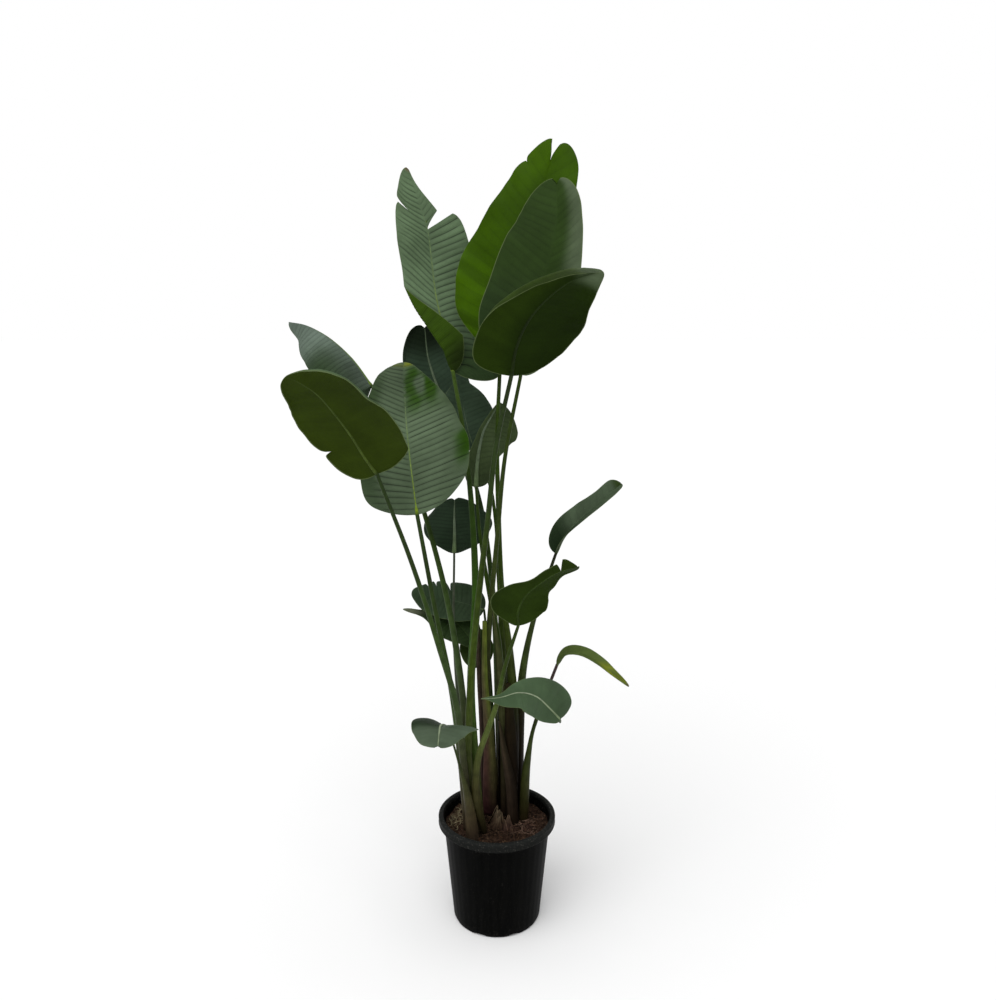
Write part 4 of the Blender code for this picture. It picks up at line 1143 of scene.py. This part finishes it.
def carried_ring(centre, radius, front, channel, count):
    """Points of a tube. At each place of the path a ring lies across it, and a point's
    distance from the middle is the radius less a rounded channel on the front:
    radius * (1 - channel * exp(-(angle / width)^2))."""
    along = unit(np.gradient(centre, axis=0))
    side = unit(np.cross(along, front))
    ahead = np.cross(side, along)
    turn = np.linspace(-math.pi, math.pi, count, endpoint=False)[None, :, None]
    dip = 1 - channel[:, None, None] * np.exp(-(turn / CHANNEL_WIDTH) ** 2)
    ring = dip * (np.cos(turn) * ahead[:, None, :] + np.sin(turn) * side[:, None, :])
    return centre[:, None, :] + radius[:, None, None] * ring


def close_ends(rings):
    """The rings with a row at each end whose points all lie in the middle, a closed pole."""
    first, last = [np.repeat(ring.mean(axis=1, keepdims=True), rings.shape[1], axis=1)
                   for ring in (rings[:1], rings[-1:])]
    return np.concatenate([first, rings, last])


print("tubes ready")

# %% Stalks
STALK_RINGS = 70
MIDRIB_RINGS = 50
RING_POINTS = 20
PLAIN_RADII = 3
SWELLING = 0.3
SWOLLEN_PART = 0.6
RIB_SHARE = 0.8
RIB_TIP = 0.0005
NECK_SWELLING = 0.25
NECK_REACH = 0.04
SINK_REACH = 0.06


def stalk_radius(leaf, places):
    """The stalk's radius from the soil, 0, to the blade, 1. A plain stalk swells towards the
    soil, and a sheath has that in its own radii."""
    radius = spread(leaf["radius"], places)
    if len(leaf["radius"]) == PLAIN_RADII:
        radius = radius * (1 + SWELLING * np.clip(1 - places / SWOLLEN_PART, 0.0, 1.0))
    return radius


def make_stalk(name, leaf, look):
    """A leaf's stalk and midrib as one tube. The midrib thins nearly evenly to its tip, and
    it is a little thicker where it leaves the stalk."""
    lower = np.linspace(0.0, 1.0, STALK_RINGS)
    upper = np.linspace(0.0, 1.0, MIDRIB_RINGS + 1)[1:]
    rib_line, _, _, rib_up = frame_on_midrib(leaf, upper)
    rib_radius = look["rib_size"] * (leaf["neck"] * RIB_SHARE * (1 - upper) ** 0.9 + RIB_TIP)
    rib_radius = rib_radius * (1 + NECK_SWELLING * np.exp(-upper / NECK_REACH))
    sink = look["sunk"] * rib_radius * ramp(upper, SINK_REACH)
    centre = np.concatenate([smooth_curve(leaf["stalk"], lower), rib_line - sink[:, None] * rib_up])
    radius = np.concatenate([stalk_radius(leaf, lower), rib_radius])
    front = np.concatenate([np.repeat(rib_up[:1], STALK_RINGS, axis=0), rib_up])
    channel = np.concatenate([0.05 + 0.20 * lower, 0.22 * (1 - upper) + 0.03])
    rings = close_ends(carried_ring(centre, radius, front, channel, RING_POINTS))
    tones = np.concatenate([tone_rows(STALK_TONES[look["stalk"]], lower),
                            tone_rows(RIB_TONES[look["rib"]], upper)])
    tones = np.concatenate([tones[:1], tones, tones[-1:]])
    tones = np.repeat(tones[:, None, :], RING_POINTS, axis=1)
    piece = make_piece(f"{name}_stem", rings,
                       grid_faces(len(rings), RING_POINTS, wrap=True)[:, ::-1],
                       [green_stalk_finish], {"tone": tones}, replaces=[f"{name}_stalk"])


for name, leaf in LEAVES.items():
    make_stalk(name, leaf, LOOKS[name])
print(len(LEAVES), "stalks")

# %% [markdown]
# ## Old leaf bases
# Between the living stalks stand the bases of leaves that were cut or have died. Two are cut
# stubs, and the rest have dried and narrow towards their tops. They are tubes like the stalks,
# with lengthwise folds all round, and a cut one ends in a small hollow, because an old base is
# spongy and dries inwards.

# %% Old bases
# Routes from the soil up
OLD_BASES = {
    "cut_base_brown": [(-0.04, 0.055, FOOT), (-0.036, 0.042, 0.48), (-0.044, 0.032, 0.65),
                       (-0.047, 0.03, 0.77)],
    "cut_base_green": [(-0.018, 0.044, FOOT), (-0.02, 0.025, 0.48), (-0.03, 0.012, 0.65),
                       (-0.03, 0.01, 0.8)],
    "pointed_base": [(0.02, 0.033, FOOT), (0.022, 0.02, 0.45), (0.01, 0.014, 0.65),
                     (-0.009, 0.01, 0.828)],
    "old_sheath": [(0.038, 0.017, FOOT), (0.038, 0.008, 0.42), (0.033, 0.002, 0.54),
                   (0.028, 0.0, 0.64)],
    "leaning_sheath": [(0.042, -0.006, FOOT), (0.034, -0.01, 0.38), (0.02, -0.012, 0.46),
                       (0.006, -0.013, 0.545)],
    "dry_stub": [(-0.004, -0.018, FOOT), (0.0, -0.018, 0.285), (0.006, -0.02, 0.312)],
    "bulb_stub": [(0.028, -0.032, FOOT), (0.028, -0.031, 0.273), (0.026, -0.028, 0.29)],
}

# radii at even places, tones of the left and the right flank from foot to top, and whether
# the top was cut. The left flank, towards the light, is mostly the lighter one: partly the
# bases' own colour, partly painted light.
BASE_LOOKS = {
    "cut_base_brown": {
        "radii": (0.008, 0.008, 0.0078, 0.0065, 0.005),
        "left": [(50, 36, 34), (70, 56, 50), (74, 64, 52)],
        "right": [(46, 34, 30), (56, 48, 36), (66, 60, 44)], "cut": True,
    },
    "cut_base_green": {
        "radii": (0.0185, 0.0185, 0.013, 0.0095, 0.007, 0.0055),
        "left": [(52, 28, 30), (82, 58, 50), (92, 86, 58), (100, 110, 44)],
        "right": [(48, 26, 28), (84, 84, 46), (84, 96, 38), (90, 104, 36)], "cut": True,
    },
    "pointed_base": {
        "radii": (0.01, 0.0135, 0.0105, 0.0015),
        "left": [(44, 32, 24), (60, 62, 36), (70, 76, 44)],
        "right": [(40, 30, 22), (52, 56, 28), (66, 72, 40)], "cut": False,
    },
    "old_sheath": {
        "radii": (0.0145, 0.0155, 0.014, 0.006),
        "left": [(30, 22, 12), (26, 18, 8), (36, 30, 14)],
        "right": [(26, 18, 10), (20, 14, 6), (32, 28, 12)], "cut": False,
    },
    "leaning_sheath": {
        "radii": (0.015, 0.0135, 0.009, 0.002),
        "left": [(42, 32, 24), (54, 44, 34), (66, 58, 42)],
        "right": [(28, 20, 12), (24, 18, 10), (36, 32, 18)], "cut": False,
    },
}
BASE_RINGS = 48
BASE_POINTS = 32
BASE_FRONT = np.array([0.0, -1.0, 0.15])
BASE_CHANNEL = 0.12
FOLD_COUNT = 7
FOLD_DEPTH = 0.05
FOLD_TWIST = 6
CUT_DEPTH = 0.008


def cut_top(rings):
    """The rings with two more that turn in over the top and down, a small hollow."""
    top = rings[-1:]
    middle = top.mean(axis=1, keepdims=True)
    down = np.array([0.0, 0.0, CUT_DEPTH])
    return np.concatenate([rings, middle + 0.75 * (top - middle),
                           middle + 0.5 * (top - middle) - down])


def make_base(name, route, radii, left, right, cut):
    """An old leaf base as a tube with lengthwise folds: radius * (1 + depth * cos(count *
    angle + twist * place)). Its tones change from foot to top and from flank to flank, and the
    lighter left flank is partly painted light."""
    places = np.linspace(0.0, 1.0, BASE_RINGS)
    centre = smooth_curve(route, places)
    rings = carried_ring(centre, spread(radii, places), BASE_FRONT,
                         np.full(BASE_RINGS, BASE_CHANNEL), BASE_POINTS)
    turn = np.linspace(-math.pi, math.pi, BASE_POINTS, endpoint=False)[None, :]
    folds = 1 + FOLD_DEPTH * np.cos(FOLD_COUNT * turn + FOLD_TWIST * places[:, None])
    rings = centre[:, None, :] + folds[..., None] * (rings - centre[:, None, :])
    rings = close_ends(cut_top(rings) if cut else rings)
    height = np.clip((np.arange(len(rings)) - 1) / (BASE_RINGS - 1), 0.0, 1.0)
    # The left flank takes the left tones and the right flank the right ones; the lighter left side is
    # partly painted light.
    flank = (0.5 + 0.5 * np.tanh(2.5 * np.sin(turn)))[..., None]
    shades = (1 - flank) * tone_rows(left, height)[:, None] + flank * tone_rows(right, height)[:, None]
    piece = make_piece(f"{name}_skin", rings,
                       grid_faces(len(rings), BASE_POINTS, wrap=True)[:, ::-1],
                       [dry_finish], {"tone": shades}, replaces=[name])


for name, look in BASE_LOOKS.items():
    make_base(name, OLD_BASES[name], **look)
print(len(BASE_LOOKS), "old bases")

# %% [markdown]
# ## Dry bracts
# Two small shoots have died back to a few papery scales, one over another like the skins of
# an onion. One scale is a curved sheet that narrows to a point and leans out at its tip, and
# the whole bunch is one mesh with its scales set round a middle, each turned a little further.

# %% Dry bracts
SCALE_ROWS = 14
SCALE_COLUMNS = 10
SCALE_THICKNESS = 0.0007
SCALE_TURN = 2.4
SCALE_ROOT = 0.004


def repeated(faces, points, count):
    """The faces of one shape repeated for a row of shapes with that many points each."""
    return (faces[None] + points * np.arange(count)[:, None, None]).reshape(-1, 4)


def make_bracts(name, count, radius, height, lean, tones, seed):
    """A bunch of papery scales. A scale's half angle shrinks towards its point as
    (1 - up)^0.4. The outermost scale's distance from the middle is
    radius * (1 - 0.85 * up^1.3) + lean * up^3, and the inner ones are smaller copies."""
    chance = np.random.default_rng(seed)
    foot, top = OLD_BASES[name][0], OLD_BASES[name][-1]
    up = np.linspace(0.0, 1.0, SCALE_ROWS)[None, :, None]
    across = np.linspace(-1.0, 1.0, SCALE_COLUMNS)[None, None, :]
    first = (np.arange(count) * SCALE_TURN + chance.uniform(-0.3, 0.3, count))[:, None, None]
    tall = height * chance.uniform(0.45, 1.0, count)[:, None, None]
    size = radius * np.linspace(0.45, 1.0, count)[:, None, None]
    wide = chance.uniform(1.1, 1.6, count)[:, None, None]
    angle = first + across * wide * (1 - up) ** 0.4 + 0.3 * up
    ripple = (1 + 0.14 * np.sin(9 * across + 3 * first) * (1 - up)
              + 0.06 * np.sin(21 * across + 5 * first + 8 * up))
    away = (size * (1 - 0.85 * up ** 1.3) + lean * size / radius * up ** 3) * ripple
    x = foot[0] + (top[0] - foot[0]) * up + away * np.cos(angle)
    y = foot[1] + (top[1] - foot[1]) * up + away * np.sin(angle)
    z = foot[2] - SCALE_ROOT + (tall + SCALE_ROOT) * up
    points = np.stack(np.broadcast_arrays(x, y, z), axis=-1)
    faces = repeated(grid_faces(SCALE_ROWS, SCALE_COLUMNS), SCALE_ROWS * SCALE_COLUMNS, count)
    streaks = 1 + 0.40 * np.sin(16 * across + 5 * first) * (1 - 0.5 * up) + 1.5 * across ** 8
    shades = tone_rows(tones, up.ravel())[None, :, None, :] * streaks[..., None]
    piece = make_piece(f"{name}_scales", points, faces, [dry_finish], {"tone": shades},
                       replaces=[name])
    thicken(piece, SCALE_THICKNESS)


make_bracts("dry_stub", 9, 0.024, 0.056, 0.004, [(36, 24, 18), (64, 50, 38), (98, 86, 68)], 51)
make_bracts("bulb_stub", 7, 0.020, 0.036, 0.006, [(34, 22, 17), (62, 46, 38), (92, 76, 62)], 52)
print("dry bracts ready")

# %% [markdown]
# ## The nursery pot
# The pot is a lathe shape: one closed profile carried round Z. The rim is a rolled collar,
# and drain notches lift the foot's edge in eight places. The notches are part of the same
# formula, a height that the foot's points may not fall below, so no Boolean is needed.

# %% Pot shape
POT_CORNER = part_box("pot")[1]
POT_HEIGHT = POT_CORNER.z
RIM_RADIUS = POT_CORNER.x
MOUTH_RADIUS = RIM_RADIUS - 0.012
FOOT_RADIUS = RIM_RADIUS - 0.038
WALL = 0.0025
FLOOR_THICKNESS = 0.004
RIM_DEPTH = 0.022
BELOW_RIM = POT_HEIGHT - RIM_DEPTH
INSIDE_TOP = 0.275
FOOT_ROUND = 0.006
COLLAR_ROUND = 0.003
LIP_ROUND = 0.0045
POT_COLUMNS = 240
FOOT_POINTS = 12
WALL_POINTS = 24
DRAIN_COUNT = 8
DRAIN_WIDTH = 0.022
DRAIN_HEIGHT = 0.006
DRAIN_REACH = 0.016
DRAIN_SLOPE = 0.6
RIB_COUNT = 40
RIB_DEPTH = 0.0003
RIB_FADE = 0.02


def arc(middle, size, first, last, count):
    """Points of an arc in the profile, as radius and height, between two angles in degrees."""
    turn = np.radians(np.linspace(first, last, count))
    return np.stack([middle[0] + size * np.cos(turn), middle[1] + size * np.sin(turn)], axis=-1)


def wall_point(height, inwards=0.0):
    """A point of the wall, as radius and height: a straight taper from foot to mouth."""
    radius = FOOT_RADIUS + (MOUTH_RADIUS - FOOT_RADIUS) * height / POT_HEIGHT
    return (radius - inwards, height)


band = RIM_RADIUS - 0.0004
profile = np.concatenate([
    np.linspace((0.0, 0.0), (FOOT_RADIUS - 0.008, 0.0), FOOT_POINTS // 2),
    arc((FOOT_RADIUS - FOOT_ROUND, FOOT_ROUND), FOOT_ROUND, -90, 0, FOOT_POINTS // 2),
    np.linspace(wall_point(0.008), wall_point(BELOW_RIM), WALL_POINTS),
    arc((RIM_RADIUS - COLLAR_ROUND, BELOW_RIM + COLLAR_ROUND), COLLAR_ROUND, -90, 0, 5),
    np.linspace((band, BELOW_RIM + 0.006), (band, POT_HEIGHT - 0.006), 5),
    arc((RIM_RADIUS - LIP_ROUND, POT_HEIGHT - LIP_ROUND), LIP_ROUND, 0, 90, 6),
    arc((MOUTH_RADIUS + 0.002, POT_HEIGHT - COLLAR_ROUND), COLLAR_ROUND, 90, 180, 5),
    np.linspace(wall_point(INSIDE_TOP, WALL), wall_point(FLOOR_THICKNESS, WALL), 8),
    np.linspace((FOOT_RADIUS - 0.02, FLOOR_THICKNESS), (0.0, FLOOR_THICKNESS), 3),
])
print("pot profile of", len(profile), "points")

# %% Pot ribs and drain notches
turn = np.linspace(0.0, 2 * math.pi, POT_COLUMNS, endpoint=False)[None, :]
order = np.arange(len(profile))[:, None]
radius, height = profile[:, :1], profile[:, 1:]
ribbed = (order < FOOT_POINTS + WALL_POINTS) * ramp(height, RIB_FADE) * ramp(BELOW_RIM - height, RIB_FADE)
radius = radius + RIB_DEPTH * ribbed * (np.cos(RIB_COUNT * turn) - 1) / 2
from_drain = np.abs((turn * DRAIN_COUNT / (2 * math.pi)) % 1.0 - 0.5)
from_drain = from_drain * 2 * math.pi * FOOT_RADIUS / DRAIN_COUNT / (DRAIN_WIDTH / 2)
notch = DRAIN_HEIGHT * ramp(1 + DRAIN_SLOPE - from_drain, DRAIN_SLOPE)
foot = (order < FOOT_POINTS) * (radius > FOOT_RADIUS - DRAIN_REACH)
height = np.where(foot, np.maximum(height, notch), height)
pot_points = np.stack([radius * np.cos(turn), radius * np.sin(turn), height], axis=-1)
print("pot grid of", pot_points.shape[:2], "points")

# %% [markdown]
# Nursery pots are pressed from recycled plastic: nearly black and half matte, with fine flow
# marks down the wall. Dust and dried splashes of soil lie on the rim and the foot. A mask on
# height, broken up by noise, brings the dust only there. The same mask, without the noise,
# lightens the outside of the rim and the foot: wear, and on the rim also a painted highlight.

# %% Pot finish
MARK_STRETCH = 0.08
MARK_SIZE = 60.0
GRAIN_SIZE = 900.0
SPLASH_SIZE = 260.0
PLASTIC_TONES = [(0.3, (0.0006, 0.0007, 0.0006, 1.0)), (0.7, (0.0022, 0.0022, 0.0020, 1.0))]
WEAR_AND_HIGHLIGHT_TONE = (0.014, 0.015, 0.014, 1.0)
DUST_TONE = (0.170, 0.160, 0.140, 1.0)
DUST_BANDS = [(0.0, grey(0.45)), (0.10, grey(0.10)), (0.85, grey(0.05)), (0.93, grey(0.60)),
              (0.97, grey(0.60)), (1.0, grey(1.0))]


def outside_only(tree, place):
    """1 on the pot's outside and rim, and 0 inside."""
    across = math_node(tree, "MULTIPLY", place["X"], place["X"])
    away = math_node(tree, "MULTIPLY_ADD", place["Y"], place["Y"], across)
    return math_node(tree, "GREATER_THAN", math_node(tree, "SQRT", away), MOUTH_RADIUS - 0.003)


def pot_finish():
    """Black plastic with flow marks, dust near the rim and the foot, and a lighter band on the
    outside of the rim and the foot: wear, and on the rim a painted highlight.
    """
    material, tree, shader = new_finish("black_plastic", 0.42, 0.02)
    place = object_place(tree)
    split = add_node(tree, "ShaderNodeSeparateXYZ", {0: place}).outputs
    marks = drawn_noise(tree, place, MARK_STRETCH, MARK_SIZE, 4.0)
    grain = noise(tree, place, GRAIN_SIZE, 2.0)
    splash = noise(tree, place, SPLASH_SIZE, 6.0, 0.75)
    band = colour_ramp(tree, math_node(tree, "DIVIDE", split["Z"], POT_HEIGHT), DUST_BANDS)
    dusty = colour_ramp(tree, splash, [(0.58, grey(0.0)), (0.66, grey(1.0))])
    dust = math_node(tree, "MULTIPLY", band, dusty)
    # Lighter outside the rim and the foot: wear, and on the rim a painted highlight.
    wear_and_highlight = math_node(tree, "MULTIPLY", band, outside_only(tree, split))
    colour = blend_colours(tree, wear_and_highlight, colour_ramp(tree, marks, PLASTIC_TONES), WEAR_AND_HIGHLIGHT_TONE)
    colour = blend_colours(tree, math_node(tree, "MULTIPLY", dust, 0.8), colour, DUST_TONE)
    tree.links.new(colour, shader.inputs["Base Color"])
    rough = colour_ramp(tree, dust, [(0.0, grey(0.45)), (1.0, grey(0.85))])
    tree.links.new(rough, shader.inputs["Roughness"])
    bump(tree, shader, math_node(tree, "MULTIPLY_ADD", grain, 0.3, marks), 0.0004, 0.5)
    return material


pot_piece = make_piece("nursery_pot", pot_points, grid_faces(len(profile), POT_COLUMNS, wrap=True),
                       [pot_finish()], replaces=["pot"])
print("pot faces:", len(pot_piece.data.polygons))

# %% [markdown]
# ## Soil, bark and straw
# The soil's surface is a disc of rings whose height wanders, closed below like a plug. Real
# potting mix is bits of bark, so hundreds of small jittered blocks lie on it, and dry straw
# lies in loose heaps left and right of the stalks. Each kind is one mesh, because
# hundreds of separate objects would be slow and gain nothing.

# %% Soil
SOIL_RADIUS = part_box("soil")[1].x
SOIL_RINGS = 60
SOIL_COLUMNS = 180
SOIL_BUMPS = 0.0022
SOIL_DROP = 0.002
SOIL_SAG = 0.005
SOIL_PLUG = 0.03
CRUMB_SIZE = 320.0
CLOUD_SIZE = 40.0
SOIL_TONES = [(0.25, (0.007, 0.004, 0.0025, 1.0)), (0.50, (0.028, 0.015, 0.009, 1.0)),
              (0.72, (0.046, 0.026, 0.016, 1.0)), (0.95, (0.085, 0.058, 0.040, 1.0))]


def soil_height(x, y):
    """The soil's height: level in the middle, a little lower at the wall, and lumpy."""
    away = np.hypot(x, y) / SOIL_RADIUS
    flat = np.stack([x, y], axis=-1)
    lumps = wander(flat, 0.05, 901) + 0.6 * wander(flat, 0.016, 902) + 0.3 * wander(flat, 0.006, 903)
    return SOIL_TOP - SOIL_DROP - SOIL_SAG * away ** 4 + SOIL_BUMPS * lumps


def soil_finish():
    """Damp bark soil: red-brown to nearly black crumbs, all rough."""
    material, tree, shader = new_finish("bark_soil", 0.92, 0.08)
    place = object_place(tree)
    crumbs = add_node(tree, "ShaderNodeTexVoronoi", {"Vector": place, "Scale": CRUMB_SIZE})
    single = add_node(tree, "ShaderNodeSeparateColor", {0: crumbs.outputs["Color"]}).outputs[0]
    cloud = noise(tree, place, CLOUD_SIZE, 8.0, 0.7)
    mixed = math_node(tree, "MULTIPLY_ADD", single, 0.5, math_node(tree, "MULTIPLY", cloud, 0.6))
    tree.links.new(colour_ramp(tree, mixed, SOIL_TONES), shader.inputs["Base Color"])
    bump(tree, shader, mixed, 0.002, 1.0)
    return material


around = np.linspace(0.0, 2 * math.pi, SOIL_COLUMNS, endpoint=False)[None, :]
ring = SOIL_RADIUS * np.linspace(0.0, 1.0, SOIL_RINGS)[:, None]
x, y = ring * np.cos(around), ring * np.sin(around)
top = np.stack([x, y, soil_height(x, y)], axis=-1)
below = top[[-1, 0]].copy()
below[..., 2] = SOIL_TOP - SOIL_PLUG
soil_grid = np.concatenate([top, below])
soil_piece = make_piece("soil_plug", soil_grid,
                        grid_faces(len(soil_grid), SOIL_COLUMNS, wrap=True)[:, ::-1],
                        [soil_finish()], replaces=["soil"])
print("soil faces:", len(soil_piece.data.polygons))

# %% Bark chips
CHIP_COUNT = 900
CHIP_REACH = 0.98
CHIP_SHAPE = [1.6, 1.0, 0.6]
CHIP_TONES = [(46, 31, 23), (60, 42, 30), (34, 24, 18), (78, 60, 46)]
BOX_CORNERS = np.array([[x, y, z] for x in (-1, 1) for y in (-1, 1) for z in (-1, 1)], dtype=float)
BOX_FACES = np.array([[0, 1, 3, 2], [4, 6, 7, 5], [0, 4, 5, 1], [2, 3, 7, 6], [0, 2, 6, 4], [1, 5, 7, 3]])


def random_turns(chance, count):
    """Random rotation matrices, each from two random directions made square to each other."""
    first = unit(chance.normal(size=(count, 3)))
    third = unit(np.cross(first, chance.normal(size=(count, 3))))
    return np.stack([first, np.cross(third, first), third], axis=1)


def make_chips(seed):
    """Bark crumbs: jittered blocks in random positions, turned at random, half sunk."""
    chance = np.random.default_rng(seed)
    away = SOIL_RADIUS * CHIP_REACH * np.sqrt(chance.random(CHIP_COUNT))
    turned = chance.uniform(0, 2 * math.pi, CHIP_COUNT)
    x, y = away * np.cos(turned), away * np.sin(turned)
    size = chance.uniform(0.0008, 0.0032, (CHIP_COUNT, 1, 3)) * CHIP_SHAPE
    blocks = BOX_CORNERS * size * chance.uniform(0.6, 1.2, (CHIP_COUNT, 8, 1))
    blocks = blocks @ random_turns(chance, CHIP_COUNT)
    blocks = blocks + np.stack([x, y, soil_height(x, y)], axis=-1)[:, None, :]
    tone = srgb(CHIP_TONES)[chance.integers(0, len(CHIP_TONES), CHIP_COUNT)]
    return make_piece("bark_chips", blocks, repeated(BOX_FACES, len(BOX_CORNERS), CHIP_COUNT),
                      [dry_finish], {"tone": np.repeat(tone, len(BOX_CORNERS), axis=0)})


print(CHIP_COUNT, "bark chips planned")

# %% Straw
STRAW_POINTS = 7
STRAW_SIDES = 4
HEAP_LIMIT = 0.88
STRAW_LIMIT = 0.96
# name, number of blades, heaps as x, y and reach, longest blade, thickest blade, tones
STRAW_KINDS = [
    ("dry_straw", 84, [(-0.098, 0.035, 0.040), (-0.095, 0.000, 0.034)], 0.050, 0.0010,
     [(130, 120, 92), (104, 90, 66), (84, 68, 50), (146, 136, 108)]),
    ("brown_shreds", 70, [(0.080, -0.020, 0.034), (0.096, -0.050, 0.026), (0.055, -0.045, 0.030)],
     0.050, 0.0014, [(92, 70, 58), (70, 50, 42), (116, 94, 80), (56, 40, 34)]),
    ("fine_fibres", 160, [(0.0, 0.0, 0.110)], 0.022, 0.0005,
     [(104, 82, 62), (78, 58, 44), (60, 44, 34), (90, 74, 56)]),
]


def straw_lines(chance, count, heaps, longest):
    """The middle lines of the straws: shallow arcs that lie on the soil, inside the pot, and
    lift a little at their ends. One row of points is one straw. The second result is each
    point's place along its straw, from -1/2 to 1/2."""
    heap = np.array(heaps)[chance.integers(0, len(heaps), count)]
    middle = heap[:, :2] + chance.normal(size=(count, 2)) * heap[:, 2:] / 2
    far = np.linalg.norm(middle, axis=1)[:, None]
    middle = middle * np.minimum(1.0, HEAP_LIMIT * SOIL_RADIUS / far)
    heading = chance.uniform(0, 2 * math.pi, count)[:, None]
    length = chance.uniform(0.2, 1.0, count)[:, None] * longest
    bend = chance.uniform(-1.2, 1.2, count)[:, None]
    t = np.linspace(-0.5, 0.5, STRAW_POINTS)[None, :]
    x = middle[:, :1] + length * t * np.cos(heading + bend * t)
    y = middle[:, 1:] + length * t * np.sin(heading + bend * t)
    inward = np.minimum(1.0, STRAW_LIMIT * SOIL_RADIUS / np.hypot(x, y))
    x, y = x * inward, y * inward
    lift = chance.uniform(0.0005, 0.006, (count, 1)) + chance.uniform(0, 0.02, (count, 1)) * t ** 2
    return np.stack([x, y, soil_height(x, y) + lift], axis=-1), t


def make_straw(name, count, heaps, longest, thickest, tones, seed):
    """Dry straw: thin tubes round their middle lines, pinched at the ends, all of them worked
    out together."""
    chance = np.random.default_rng(seed)
    centre, t = straw_lines(chance, count, heaps, longest)
    along = unit(np.gradient(centre, axis=1))
    side = unit(np.cross(along, (0.0, 0.0, 1.0)))
    over = np.cross(side, along)
    turn = np.linspace(0, 2 * math.pi, STRAW_SIDES, endpoint=False)[None, None, :, None]
    thick = chance.uniform(0.3, 1.0, (count, 1, 1, 1)) * thickest
    thin = np.clip(1.02 - np.abs(2 * t) ** 6, 0.05, 1.0)[:, :, None, None]
    rings = centre[:, :, None, :] + thick * thin * (np.cos(turn) * side[:, :, None, :]
                                                    + np.sin(turn) * over[:, :, None, :])
    points = STRAW_POINTS * STRAW_SIDES
    ends = np.arange(STRAW_SIDES)
    ends = np.array([ends[::-1], ends + points - STRAW_SIDES])
    faces = np.concatenate([grid_faces(STRAW_POINTS, STRAW_SIDES, wrap=True), ends])
    tone = srgb(tones)[chance.integers(0, len(tones), count)]
    return make_piece(name, rings, repeated(faces, points, count), [dry_finish],
                      {"tone": np.repeat(tone, points, axis=0)})


litter = [make_straw(*kind, seed) for seed, kind in enumerate(STRAW_KINDS, 32)]
for piece in (make_chips(31), *litter):
    print(piece.name, len(piece.data.polygons), "faces")
